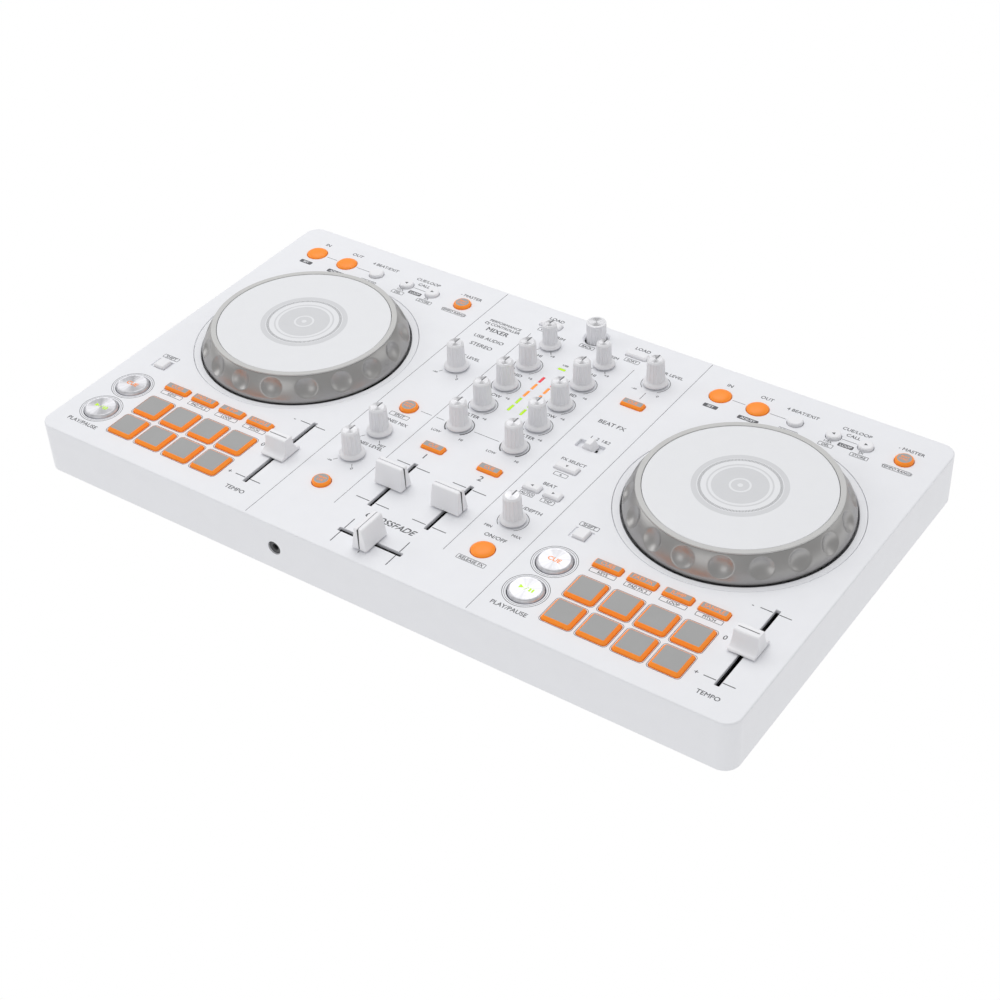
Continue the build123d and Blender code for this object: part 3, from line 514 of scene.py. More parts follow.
PHONES, MIC, USB = (-56.7, -17.3), (-60.0, -20.4), (4.0, -14.2)
LINES = {"left": (34.0, -20.4), "right": (48.0, -20.4)}


def long_wall(back):
    """Front or back wall between the corner runs, with its socket holes."""
    height = SIDE_HEIGHT - BAND
    if back:
        holes = [ring_line(*MIC, 5.6), *[ring_line(*place, 5.3) for place in LINES.values()],
                 box_line(*USB, 9.2, 3.4, 1.5)]
    else:
        holes = [ring_line(*PHONES, 4.5)]
    outer = outline(WIDTH - 2 * (CORNER_R + WALL_RUN), height, 0.02, 1) + (0, -BAND - height / 2)
    return facing(panel(outer, holes, WALL), 0, 0, back)


def jog_well(side):
    """Dished ring round a jog wheel and the round well under it: one closed section turned about the
    jog's axis. A fine groove parts the ring from the top face."""
    section = [(71.45, -2.4), (71.45, -0.3), (71.2, -0.12), (67.4, -0.72), (67.0, -1.2), (67.0, -2.5),
               (68.5, -2.7), (68.5, -12.4), (7.0, -12.4), (7.0, -14.4), (70.5, -14.4), (70.5, -2.4),
               (71.45, -2.4)]
    return turned(*JOG[side], section, 240)


def recess(x, y, outer, inner, floor):
    """Floor of a recess in the top face: a ring between two rounded rectangles."""
    lines = [box_line(x, y, w, d, r) for w, d, r in (outer, inner)]
    return strip(*lines, -PLATE, floor, closed=True)


def case_shell():
    """Top face, edge, walls, jog wells and recesses of the upper case, all one moulding."""
    plate = outline(WIDTH - 1.4, DEPTH - 1.4, CORNER_R - 0.7, 16)
    shapes = [panel(plate, plate_holes(), PLATE, LIP), edge_band()]
    shapes += [side_wall(-1), side_wall(1), long_wall(False), long_wall(True)]
    shapes += [jog_well(side) for side in SIDES]
    shapes += [recess(*middle(f"{side}_shift_button"), (12.9, 9.9, 1.0), (8.7, 9.2, 0.8), -0.8)
               for side in SIDES]
    shapes.append(recess(*SWITCH, (18.0, 8.1, 1.2), (10.2, 2.0, 0.4), -2.3))
    dish = [(9.2, -0.4), (8.6, -0.1), (7.7, -0.95), (7.4, -1.4), (7.4, -PLATE), (9.2, -PLATE),
            (9.2, -0.4)]
    shapes.append(turned(*BROWSE, dish, 96))
    piece("case_shell", shapes, case_paint, "case", ["top_case"])


# ---- jog wheels ----
DIMPLES, DIMPLE_R, DIMPLE_OUT, DIMPLE_Z = 18, 12.2, 71.6, 13.6
DIMPLE_BLEND, DIMPLE_FROM, FAR = 0.3, 58.0, 200.0


def dimpled(angle, radius, height):
    """Finger dimples: on the outer face the radius is held back to the inner side of balls set round
    the rim, and a smooth minimum blends the two."""
    pitch = TAU / DIMPLES
    off = (angle + math.pi / 2 + pitch / 2) % pitch - pitch / 2
    inside = DIMPLE_R**2 - (height - DIMPLE_Z) ** 2 - (DIMPLE_OUT * np.sin(off)) ** 2
    ball = DIMPLE_OUT * np.cos(off) - np.sqrt(np.maximum(inside, 0))
    ball = np.where(inside > 0, ball, FAR)
    gap = np.clip(1 - np.abs(radius - ball) / DIMPLE_BLEND, 0, 1)
    held = np.minimum(radius, ball) - gap**2 * DIMPLE_BLEND / 4
    return np.where(radius > DIMPLE_FROM, held, radius)


def rim_profile():
    """Section of the rim: inner seat, top, the bulging outer face as a parabola through three heights,
    a soft lower edge and the foot."""
    t = np.linspace(0, 1, 40)
    radius, height = (np.polynomial.Polynomial.fit((0, 0.5, 1), v, 2)(t)
                      for v in ((58.7, 63.1, 66.0), (14.7, 8.9, 1.6)))
    foot = soften([(66.0, 1.6), (66.0, -1.0), (62.0, -1.0), (56.6, 10.4), (56.6, 14.7)], 0.5)
    return np.vstack([np.c_[radius, height], foot[1:], [(57.6, 14.7)], [(58.7, 14.7)]])


def jog_wheel(side):
    """Rim, grip ring and top plate of one jog wheel."""
    x, y = JOG[side]
    body = f"{side}_jog"
    piece(f"{side}_jog_rim_shell", [turned(x, y, rim_profile(), 720, dimpled)], rim_metal, body,
          [f"{side}_jog_rim"], spun=(x, y))
    ring = [(57.0, 14.7), (55.35, 14.7), (55.35, 15.9), (58.75, 15.9), (58.75, 14.7), (57.0, 14.7)]
    piece(f"{side}_jog_grip", [turned(x, y, soften(ring, 0.45), 240)], grip_plastic, body,
          [f"{side}_jog_grip_ring"])
    top = [(0, 13.0), (55.1, 13.0), (55.1, 15.6), (54.0, JOG_FACE), (0, JOG_FACE)]
    piece(f"{side}_jog_plate", [turned(x, y, soften(top, 0.4), 240)], jog_plastic, body,
          [f"{side}_jog_top_plate"])
    jog_print(side)


JOG_FACE, JOG_TICKS = 15.62, 180
PRINT = 0.03


def flat_ring(x, y, r_in, r_out, z, steps=180):
    """Printed ring on a level face."""
    return strip(ring_line(x, y, r_out, steps), ring_line(x, y, r_in, steps), z - PRINT, z + PRINT,
                 closed=True)


def jog_print(side):
    """Rings, ticks and a plain ring and dot in the middle of a jog's top plate."""
    x, y = JOG[side]
    body = f"{side}_jog"
    rings = [flat_ring(x, y, *radii, JOG_FACE) for radii in ((24.4, 27.6), (0.4, 16.3), (18.0, 19.0))]
    piece(f"{side}_jog_rings", rings, jog_print_light, body, flat=True)
    ticks = []
    for turn in np.arange(JOG_TICKS) * 360 / JOG_TICKS:
        sides = [arc(x, y, r, turn - 0.5, turn + 0.5, 1) for r in (22.2, 23.9)]
        ticks.append(strip(*sides, JOG_FACE - PRINT, JOG_FACE + PRINT))
    piece(f"{side}_jog_ticks", ticks, jog_print_dark, body, flat=True)
    mark = [flat_ring(x, y, *radii, JOG_FACE + PRINT) for radii in ((5.2, 6.4), (0.05, 1.6))]
    piece(f"{side}_jog_mark", mark, jog_plastic, body, flat=True)


# ---- rotary knobs ----
FLUTES, KNOB_FOOT = 14, 1.0


def fluted(base, low, high, depth, count=FLUTES):
    """Flutes with narrow ribs between them: the radius drops by depth in each flute and comes back up
    over the rib as a raised cosine to the sixth power, fading out at both ends of the body."""
    def shape(angle, radius, height):
        rib = (0.5 + 0.5 * np.cos(angle * count)) ** 3
        fade = np.clip((height - low) / 1.0, 0, 1) * np.clip((high - height) / 0.6, 0, 1)
        body = (height > low) & (height < high) & (radius > 0.75 * base)
        return radius - np.where(body, fade * depth * (1 - rib), 0)
    return shape


def knob(name):
    """Skirted knob: a rounded skirt, a fluted body, a chamfered crown, a spun metal top and a dark
    pointer."""
    x, y = middle(name)
    low, high = low_high(name)
    skirt, high = (high - low)[0] / 2, high[2]
    body, top = (4.9, 4.6) if name in SMALL_KNOBS else (5.85, 5.4)
    disc = top - 1.05
    neck = KNOB_FOOT + 3.4
    foot = [(0, 0), (skirt - 0.3, 0), (skirt, 0.4), (skirt, 1.1), (skirt - 0.5, 1.65), (body + 0.9, 2.1),
            (body + 0.1, 2.5), (body, 3.4)]
    foot = soften(np.add(foot, (0, KNOB_FOOT)), 0.6)
    flank = np.linspace(0, 1, 10)[1:, None] * (top - body, high - 1.3 - neck) + (body, neck)
    crown = [flank[-1], (top - 0.1, high - 1.1), (disc + 0.1, high - 0.1), (disc, high - 0.12)]
    profile = np.vstack([foot, flank[:-1], soften(crown, 0.35)[1:], [(0, high - 0.12)]])
    piece(f"{name}_grip", [turned(x, y, profile, 224, fluted(body, 3.2, high - 1.2, 0.42))],
          knob_plastic, name, [name])
    spun_top(f"{name}_cap", x, y, disc - 0.1, high - 0.05, name)
    run = disc + 0.5
    pointer = lofted(x, y + run / 2, 0.85, run, 0.2, [(0, high - 1.4), (0, high - 0.04), (0.08, high)])
    piece(f"{name}_pointer", [pointer], pointer_grey, name)


def spun_top(name, x, y, r, z, body):
    """Thin spun metal disc. It stops just short of its middle, where a turned surface has no
    direction."""
    rings = [(0.12, z - 0.3), (r, z - 0.3), (r, z - 0.05), (r - 0.1, z), (0.75 * r, z), (0.5 * r, z),
             (0.25 * r, z), (0.12, z), (0.12, z - 0.3)]
    piece(name, [turned(x, y, rings, 96)], knob_top_metal, body, spun=(x, y))


def browse_knob():
    """Ribbed push-turn knob in its round opening, with a spun top."""
    x, y = BROWSE
    high = top_of("browse_knob")
    flank = np.c_[np.full(8, 6.4), np.linspace(-3.6, high - 0.9, 8)]
    shoulder = soften([(6.4, high - 0.8), (6.3, high - 0.1), (5.6, high)], 0.5)
    top = [(5.2, high - 0.06), (0, high - 0.06)]
    profile = np.vstack([[(0, -4.0), (6.4, -4.0)], flank, shoulder, top])
    piece("browse_knob_grip", [turned(x, y, profile, 192, fluted(6.4, -3.8, high - 0.6, 0.5, 16))],
          knob_plastic, "browse_knob", ["browse_knob"])
    spun_top("browse_knob_cap", x, y, 5.1, high, "browse_knob")


# ---- fader caps ----
def half_block(w, low_y, high_y, slope, high, sign):
    """One half of a mixer fader cap: rounded rectangles whose outer side leans in by slope from foot to
    top, with a rounded upper edge. sign -1 is the front half."""
    edge = 0.9
    levels = [(0.25, KNOB_FOOT), (0, KNOB_FOOT + 0.25)]
    levels += [(0, z) for z in np.linspace(1.6, high - edge, 6)]
    levels += [(edge - edge * math.cos(t), high - edge + edge * math.sin(t))
               for t in np.radians((22, 45, 67, 90))]
    rings = []
    for inset, z in levels:
        share = (z - KNOB_FOOT) / (high - KNOB_FOOT)
        depth = high_y - low_y - slope * share - inset
        plan = outline(w - share - 2 * inset, depth, 0.7) + (0, sign * (low_y + depth / 2))
        rings.append(level(plan, z))
    return capped(rings)


def stem(x, y):
    """Steel blade under a fader cap."""
    return lofted(x, y, 1.4, 4.0, 0.2, [(0, -6.0), (0, KNOB_FOOT + 0.4)])


def mixer_cap(name, body, x, y, across=False):
    """Tall mixer fader cap: two halves with a dark line between them, on a stem."""
    high = top_of(name)

    def lay(shape):
        points = shape[0][:, (1, 0, 2)] if across else shape[0]
        return points + (x, y, 0), shape[1]

    halves = [lay(half_block(19.6, 0.28, 5.1, 2.3, high, sign)) for sign in (-1, 1)]
    piece(f"{name}_halves", halves, cap_plastic, body, [name])
    line = lofted(0, 0, 18.7, 1.4, 0.3, [(0, KNOB_FOOT + 0.2), (0, high - 1.0), (0.1, high - 0.75)])
    piece(f"{name}_line", [lay(line)], dark_gap, body)
    piece(f"{name}_stem", [lay(stem(0, 0))], dark_steel, body)


TEMPO_FOOT, TEMPO_RIDGE, TEMPO_LIP, TEMPO_UNDER = (16.3, 8.5), (14.8, 3.5), 2.2, 0.6


def inward(line, distance):
    """Closed line moved inwards by distance, along the mean normal of the two runs at each point. The
    line goes round with its inside on the right."""
    run = np.roll(line, -1, axis=0) - line
    run /= np.hypot(*run.T)[:, None]
    along = run + np.roll(run, 1, axis=0)
    along /= np.maximum(np.hypot(*along.T), 1e-9)[:, None]
    return line + distance * np.c_[along[:, 1], -along[:, 0]]


def tempo_cap(side):
    """Tempo fader cap: a saddle section carried across. Its ends lean in towards the ridge, and their
    edges are rounded by drawing the section in along a quarter circle."""
    name, body = f"{side}_tempo_fader_cap", f"{side}_tempo_fader"
    x, y = TEMPO[side]
    high = top_of(name)
    (foot_w, foot), (ridge_w, ridge), lip, under = TEMPO_FOOT, TEMPO_RIDGE, TEMPO_LIP, TEMPO_UNDER
    brow = high - 1.2
    hollow = [(ridge + (foot - ridge) * (1 - math.cos(t)) ** 1.25, brow - (brow - lip) * math.sin(t))
              for t in np.radians(np.linspace(0, 84, 16))]
    right = soften([(0.4, high), (ridge - 0.7, high), (ridge, high - 0.6), *hollow, (foot, lip - 0.5),
                    (foot, under + 0.5), (foot - 0.3, under + 0.4), (foot - 0.35, under), (0.4, under)],
                   0.2, 2)
    right = right[np.r_[True, np.hypot(*np.diff(right, axis=0).T) > 1e-6]]
    section = np.vstack([right, right[::-1] * (-1, 1)])
    count = len(section)
    rows = []
    for sign, turns in ((-1, (90, 60, 30, 0)), (1, (0, 30, 60, 90))):
        for t in np.radians(turns):
            ring = inward(section, 0.3 * (1 - math.cos(t)))
            half_w = foot_w / 2 + (ridge_w - foot_w) / 2 * (ring[:, 1] - under) / (high - under)
            rows.append(np.c_[sign * (half_w - 0.3 * (1 - math.sin(t))), ring])
    points, quads = grid(np.stack(rows), wrap=True)
    ladder = np.array([[i, i + 1, count - 2 - i, count - 1 - i] for i in range(count // 2 - 1)])
    cap = points, np.vstack([quads, ladder, ladder + len(points) - count])
    piece(f"{name}_saddle", [moved(cap, x, y)], cap_plastic, body, [name])
    line = lofted(x, y, ridge_w - 2.2, 0.5, 0.1, [(0, high - 0.2), (0, high)])
    piece(f"{name}_line", [line], print_pale, body)
    piece(f"{name}_stem", [stem(x, y)], dark_steel, body)


def select_switch():
    """Slide switch: a sloped grip that covers its slot."""
    name = "channel_select_switch"
    levels = ((8.4, 6.5, 0.6, -1.2), (8.8, 6.8, 0.6, -1.1), (8.7, 6.8, 0.7, -0.5), (4.6, 6.4, 0.9, 3.2),
              (4.2, 6.2, 0.9, 3.75), (3.6, 5.6, 0.9, 4.0))
    grip = capped([level(outline(w, d, r) + SWITCH, z) for w, d, r, z in levels])
    piece("channel_select_grip", [grip], cap_plastic, name, [name])


# ---- keys ----
def key(x, y, w, d, r, slope, rise=KEY_RISE):
    """Oblong key: upright sides, a rounded shoulder, a sloped edge and a level top."""
    line = [(0, KEY_FOOT), (0, rise - slope * 0.9 - 0.15), (slope, rise - 0.02), (slope + 1.2, rise)]
    return lofted(x, y, w, d, r, soften(line, 0.22))


def key_face(x, y, w, d, r, slope):
    """Thin printed panel on a key's level top."""
    profile = [(0, KEY_RISE - 0.3), (0, KEY_RISE), (0.05, WORDS_Z)]
    return lofted(x, y, w - 2 * slope - 0.3, d - 2 * slope - 0.3, max(r - slope, 0.3), profile)


def round_key(x, y, r, slope):
    """Round key: upright side and a rounded shoulder under a level top."""
    shoulder = (r - slope, KEY_RISE)
    edge = soften([(0, KEY_FOOT), (r, KEY_FOOT), (r, KEY_RISE - slope * 0.8), shoulder], 0.3)
    return turned(x, y, np.vstack([edge, [(0, KEY_RISE)]]), 96)


def domed_key(x, y, r, dome=1.7):
    """Round key whose top drops by dome from its middle to its edge: half of it with the square of the
    distance and half with the fifth power."""
    t = np.linspace(1, 0, 20)
    top = np.c_[r * t, KEY_RISE - dome * (t**2 + t**5) / 2]
    return turned(x, y, np.vstack([[(0, KEY_FOOT), (r, KEY_FOOT)], top]), 96)


def face_disc(x, y, r):
    """Thin printed disc on a round key's top."""
    low, edge = KEY_RISE - 0.3, (r - 0.06, WORDS_Z)
    return turned(x, y, [(0, low), (r, low), (r, KEY_RISE), edge, (0, WORDS_Z)], 72)


# The orange rubber of these keys gives off painted light; no lamp shines in them.
def orange_keys(bodies, faces, places, size, r, slope, body):
    """Orange oblong keys with a grey panel on each."""
    piece(bodies, [key(x, y, *size, r, slope) for x, y in places], orange_rubber, body, [body])
    piece(faces, [key_face(x, y, *size, r, slope) for x, y in places], pad_rubber, body)


def orange_round_keys(bodies, faces, places, r, body):
    """Orange round keys with a grey disc on each."""
    keys = [round_key(x, y, r, 1.0) for x, y in places]
    piece(bodies, keys, orange_rubber, body, [body])
    piece(faces, [face_disc(x, y, r - 1.25) for x, y in places], pad_rubber, body)


def key_words(name, words, size, body):
    """Orange words on keys: each is its text, x and y."""
    shapes = [lettering(text, x, y, size, WORDS_Z) for text, x, y in words]
    piece(name, shapes, print_orange, body, flat=True)


def deck_keys(side):
    """Every key of one deck."""
    shift = SHIFT[side]
    pads, modes = ([(x + shift, y) for x, y in places] for places in (PADS, MODES))
    body = f"{side}_pad_mat"
    orange_keys(f"{side}_pads", f"{side}_pad_faces", pads, (PAD, PAD), 2.0, 1.5, body)
    body = f"{side}_mode_keys"
    orange_keys(f"{side}_mode_key_bodies", f"{side}_mode_key_faces", modes, MODE_SIZE, 1.2, 1.0, body)
    words = [(word, *place) for word, place in zip(MODE_WORDS, modes)]
    key_words(f"{side}_mode_key_words", words, 2.5, body)

    body = f"{side}_loop_keys"
    domed = [domed_key(x + shift, LOOP_Y, r) for x, r in LOOP_KEYS[:2]]
    piece(f"{side}_loop_in_out_keys", domed, orange_rubber, body, [body])
    small = [round_key(x + shift, LOOP_Y, r, 0.7) for x, r in LOOP_KEYS[2:]]
    piece(f"{side}_loop_call_keys", small, key_plastic, body)
    arrows = [arrow(x + shift, LOOP_Y, 1.3, turn, KEY_RISE)
              for (x, _), turn in zip(LOOP_KEYS[3:], (180, 0))]
    piece(f"{side}_loop_call_arrows", arrows, print_grey, body, flat=True)

    x, body = SYNC[0] + shift, f"{side}_sync_button"
    orange_round_keys(f"{side}_sync_key", f"{side}_sync_face", [(x, LOOP_Y)], SYNC_R, body)
    words = [("BEAT", x, LOOP_Y + HALF_LINE), ("SYNC", x, LOOP_Y - HALF_LINE)]
    key_words(f"{side}_sync_words", words, 1.5, body)

    body = f"{side}_shift_button"
    piece(f"{side}_shift_key", [key(*middle(body), 8.0, 8.5, 0.8, 0.6, 1.8)], key_plastic, body, [body])
    transport_key(side, "cue")
    transport_key(side, "play")


TRANSPORT_RISE, TRANSPORT_FACE = 1.8, 8.9


def transport_key(side, kind):
    """Spun metal key: a sloping rounded side, a polished edge and a flat face, with its sign printed in
    the middle."""
    body = f"{side}_{kind}_button"
    x, y = middle(body)
    r, face, high = TRANSPORT_R, TRANSPORT_FACE, TRANSPORT_RISE
    edge = [(0, KEY_FOOT), (r, KEY_FOOT), (r, 0.1), (r - 0.45, 1.0), (face + 0.5, high - 0.25),
            (face + 0.1, high), (face - 0.05, high - 0.08), (face - 0.3, high - 0.1)]
    z = high - 0.1
    t = np.linspace(0, 1, 12)[1:]
    disc = level(((face - 0.3) * (1 - t) + 0.1 * t)[:, None], z)
    cap = turned(x, y, np.vstack([soften(edge, 0.3), disc, [(0, z)]]), 160)
    piece(f"{body}_cap", [cap], transport_metal, body, [body], spun=(x, y))
    if kind == "cue":
        piece(f"{body}_word", [lettering("CUE", x, y, 2.9, z, bold=0.2)], print_orange, body, flat=True)
        return
    bars = [bar(x + k, y, 1.1, 2.7, z) for k in (2.6, 4.4)]
    slash = strip([(x - 0.75, y - 1.4), (x + 0.95, y + 1.4)], [(x - 0.4, y - 1.4), (x + 1.3, y + 1.4)],
                  z, z + 0.08)
    sign = [arrow(x - 3.1, y, 1.8, 0, z), slash, *bars]
    piece(f"{body}_sign", sign, print_green, body, flat=True)


def mixer_keys():
    """Every key between the decks."""
    loads = [key(x, y, *BAR_SIZE, 1.2, 0.9) for x, y in LOAD]
    piece("load_key_bodies", loads, key_plastic, "load_buttons", ["load_buttons"])
    body = "cue_select_buttons"
    orange_keys("cue_select_key_bodies", "cue_select_key_faces", CUE_SELECT, BAR_SIZE, 1.2, 0.9, body)
    key_words("cue_select_key_words", [("CUE", x, y) for x, y in CUE_SELECT], 2.4, body)

    effects = [key(x, y, w, d, 1.2, 0.9) for x, y, w, d in EFFECT_KEYS]
    piece("effect_key_bodies", effects, key_plastic, "effect_keys", ["effect_keys"])
    arrows = [arrow(x, y, 1.1, turn, KEY_RISE) for (x, y, _, _), turn in zip(EFFECT_KEYS, (-90, 180, 0))]
    piece("effect_key_arrows", arrows, print_grey, "effect_keys", flat=True)

    orange_round_keys("assist_key_bodies", "assist_key_faces", ASSIST, ASSIST_R, "assist_buttons")
    words = [(word, x, y + lift) for (x, y), pair in zip(ASSIST, (("AUTO", "FADE"), ("HEAD", "CUE")))
             for word, lift in zip(pair, (HALF_LINE, -HALF_LINE))]
    key_words("assist_key_words", words, 1.5, "assist_buttons")
    body = "effect_on_button"
    dome = domed_key(*EFFECT_ON, EFFECT_ON_R)
    piece("effect_on_key", [dome], orange_rubber, body, [body])


def level_meter():
    """Lens bars of the level meter by colour, each a little crowned, and the lamp above them."""
    rows = dict(zip(METER_ROWS, ("green", "green", "orange", "orange", "red")))
    for colour, material in (("green", lens_green), ("orange", lens_orange), ("red", lens_red)):
        lenses = [(x, y, *LENS) for y in METER_ROWS if rows[y] == colour for x in (-METER_X, METER_X)]
        if colour == "green":
            lenses.append((*LAMP_PLACE, *LAMP))
        profile = [(0, -PLATE), (0, -0.1), (0.15, 0.02), (0.5, 0.06)]
        shapes = [lofted(*lens, 0.3, profile, 3) for lens in lenses]
        replaced = ["level_meter_lenses"] if colour == "green" else ()
        piece(f"meter_lenses_{colour}", shapes, material, "case", replaced)


# ---- sockets ----
def fitting(name, shape, place, material, replaced=(), back=True):
    """Part of a socket: a shape made upright, laid in the front or back wall at place, x and z."""
    piece(name, [facing(shape, *place, back)], material, "case", replaced)


def tube(section, soft=0.3):
    """Section closed on itself, its corners softened, turned about the upright axis at 0, 0."""
    return turned(0, 0, soften([*section, section[0]], soft), 64)


def sockets():
    """Headphone jack in front; microphone jack, two line sockets and a USB port behind."""
    collar = [(1.8, -14.0), (1.8, -1.3), (2.4, -0.9), (4.1, -0.9), (4.4, -1.2), (4.4, -14.0)]
    spring = [(1.62, -13.5), (1.62, -2.2), (1.8, -2.0), (1.85, -13.5), (1.62, -13.5)]
    fitting("headphone_collar", tube(collar), PHONES, jack_plastic, ["headphone_jack"],
            back=False)
    fitting("headphone_contact", turned(0, 0, spring, 48), PHONES, black_plastic, back=False)

    nut = strip(ring_line(0, 0, 6.9, 6), ring_line(0, 0, 4.6, 6), 0.0, 1.5, closed=True)
    barrel = [(3.2, -28.0), (3.2, 1.7), (3.6, 2.0), (4.5, 2.0), (4.7, 1.6), (4.7, -28.0)]
    fitting("microphone_nut", nut, MIC, dark_steel, ["rear_sockets"])
    fitting("microphone_barrel", tube(barrel), MIC, jack_plastic)

    ring = tube([(3.0, -2.0), (4.0, -2.0), (4.0, 0.3), (5.2, 0.3), (5.2, -2.5), (3.0, -2.5)])
    sleeve = tube([(3.3, -6.0), (3.3, 5.1), (3.6, 5.4), (3.9, 5.4), (4.15, 5.1), (4.15, -6.0)], 0.2)
    core = tube([(1.65, -6.0), (1.65, 4.4), (3.35, 4.4), (3.35, -6.0)], 0.1)
    for word, plastic in (("left", socket_white), ("right", socket_red)):
        fitting(f"line_ring_{word}", ring, LINES[word], plastic)
        fitting(f"line_sleeve_{word}", sleeve, LINES[word], gold_plate)
        fitting(f"line_core_{word}", core, LINES[word], plastic)

    shell = strip(outline(9.0, 3.2, 1.5), outline(8.3, 2.5, 1.2), -7.0, -0.3, closed=True)
    fitting("usb_shell", shell, USB, steel)
    tongue = lofted(0, 0, 6.6, 0.7, 0.2, [(0, -7.0), (0, -1.2), (0.1, -1.0)])
    fitting("usb_tongue", tongue, USB, black_plastic)


# ---- printing ----
MODE_WORDS = ("CUES", "PAD FX", "JUMP", "SAMPLE")
MODE_SHIFT_WORDS = ("KEYS", "PAD FX 2", "LOOP", "PITCH")
CAP_SHARE, CAP_MIDDLE, LETTER_WIDE = 0.682, 0.041, 1.02
HAIR, LINE, PAD_LINE = 0.34, 0.6, 0.3
ARC_IN, ARC_OUT, TICK_WIDE = 8.85, 9.25, 0.35


def lettering(words, x, y, size, z=0.0, slant=0.0, bold=0.12):
    """Letters laid flat at x, y, their capitals size high, as thin solids that stand 0.03 above z. They
    are struck twice, bold apart both ways, which thickens every stroke."""
    curve = bpy.data.curves.new("words", "FONT")
    curve.body = words
    curve.align_x, curve.align_y = "CENTER", "CENTER"
    curve.size = size / CAP_SHARE
    curve.extrude = 0.04
    curve.shear = slant
    curve.resolution_u = 3
    points, triangles = solid_of(curve)
    points = points * (LETTER_WIDE, 1, 1) + (x, y - CAP_MIDDLE * curve.size, z - 0.01)
    return (np.vstack([points - (bold / 2, bold / 2, 0), points + (bold / 2, bold / 2, 0.003)]),
            np.vstack([triangles, triangles + len(points)]))


def bar(x, y, w, d, z=0.0):
    """Printed rectangle."""
    left, right = ([(x + k * w / 2, y - d / 2), (x + k * w / 2, y + d / 2)] for k in (-1, 1))
    return strip(left, right, z - PRINT, z + PRINT)


def arrow(x, y, size, turn, z=0.0):
    """Printed triangle that points along turn, in degrees."""
    angle = np.radians(turn + np.array([0, 125, -125]))
    tip, top, low = np.c_[x + size * np.cos(angle), y + size * np.sin(angle)]
    return strip([top, tip], [low, tip], z - PRINT, z + 1.5 * PRINT)


def box_frame(x, y, w, d, r=0.7, line=HAIR):
    """Printed outline of a rounded rectangle."""
    inner = box_line(x, y, w - 2 * line, d - 2 * line, r - line)
    return strip(box_line(x, y, w, d, r), inner, -PRINT, PRINT, closed=True)


def dial_arc(x, y, start, end, taper=0.0):
    """Printed arc round a knob, from start to end in degrees clockwise from the back. taper widens it
    towards its end."""
    t = np.linspace(0, 1, 41)
    angle = np.radians(90 - (start + (end - start) * t))
    lines = [np.c_[x + r * np.cos(angle), y + r * np.sin(angle)] for r in (ARC_IN - taper * t, ARC_OUT)]
    return strip(*lines, -PRINT, PRINT)


def dial_tick(x, y, turn, r_in, r_out):
    """Printed mark that points away from a knob, turn degrees clockwise from the back."""
    out = np.array([math.sin(math.radians(turn)), math.cos(math.radians(turn))])
    across = np.array([out[1], -out[0]]) * TICK_WIDE / 2
    ends = np.array([[x, y] + out * r for r in (r_in, r_out)])
    return strip(ends - across, ends + across, -PRINT, PRINT)


# Words on the right deck: text, x, y and height. Boxed words: text, x, y, the box's width.
DECK_WORDS = (("IN", 97.2, 118.4, 2.7), ("OUT", 122.7, 118.4, 2.7), ("4 BEAT/EXIT", 148.0, 116.3, 2.6),
              ("CUE/LOOP", 183.7, 116.3, 2.6), ("CALL", 183.7, 111.3, 2.6),
              ("- MASTER", 218.5, 116.3, 2.6), ("1/2X", 172.6, 99.7, 1.9), ("2X", 194.1, 99.7, 1.9),
              ("PLAY/PAUSE", TRANSPORT_X, -119.5, 2.9), ("TEMPO", TEMPO["right"][0], -119.5, 2.9))
DARK_BOXES = (("SET", 97.2, 93.8, 9.6), ("ADJUST", 122.7, 93.8, 13.6), ("LOOP", 183.7, 100.8, 9.8))
OPEN_BOXES = (("RELOOP", 148.0, 96.0, 12.5), ("DEL", 173.0, 96.0, 9.4), ("STORE", 194.6, 96.0, 11.6),
              ("TEMPO RANGE", 218.5, 96.0, 17.6))
LINKS = ((105.5, 114.3), (130.9, 142.0), (178.9, 188.6))


def boxed(words, x, y, w, size=1.9, d=3.5):
    """Words in a printed frame."""
    return [box_frame(x, y, w, d), lettering(words, x, y, size)]


def deck_print(side):
    """Printed lines, boxes and words of one deck, and the light words inside its dark boxes."""
    shift = SHIFT[side]
    dark = [lettering(words, x + shift, y, size) for words, x, y, size in DECK_WORDS]
    light = []
    for words, x, y, w in DARK_BOXES:
        dark.append(lofted(x + shift, y, w, 3.4, 0.7, [(0, -PRINT), (0, PRINT)]))
        light.append(lettering(words, x + shift, y, 1.9, 0.03))
    modes = [(words, x, y - 5.8, 16.5) for words, (x, y) in zip(MODE_SHIFT_WORDS, MODES)]
    for words, x, y, w in (*OPEN_BOXES, *modes):
        dark += boxed(words, x + shift, y, w)
    dark += [bar((start + end) / 2 + shift, LOOP_Y, end - start, HAIR) for start, end in LINKS]
    x, y = middle(f"{side}_shift_button")
    dark += boxed("SHIFT", x, y + 8.2, 12.4, 2.3)
    for kind in ("cue", "play"):
        x, y = middle(f"{side}_{kind}_button")
        dark += [flat_ring(x, y, r, r + wide, 0.0, 96) for r, wide in ((11.9, 0.22), (12.95, 0.32))]
    dark += [box_frame(x + shift, y, 20.6, 20.6, 2.4, PAD_LINE) for x, y in PADS]
    x, y = TEMPO[side]
    for mark, word in ((30.1, "-"), (0.0, "0"), (-29.9, "+")):
        dark.append(lettering(word, x - 13.5, y + mark, 3.2))
        if mark:
            dark += [bar(x + k * 5.6, y + mark, 7.4, LINE) for k in (-1, 1)]
    piece(f"{side}_deck_print", dark, print_grey, "case", flat=True)
    piece(f"{side}_deck_light_print", light, print_white, "case", flat=True)


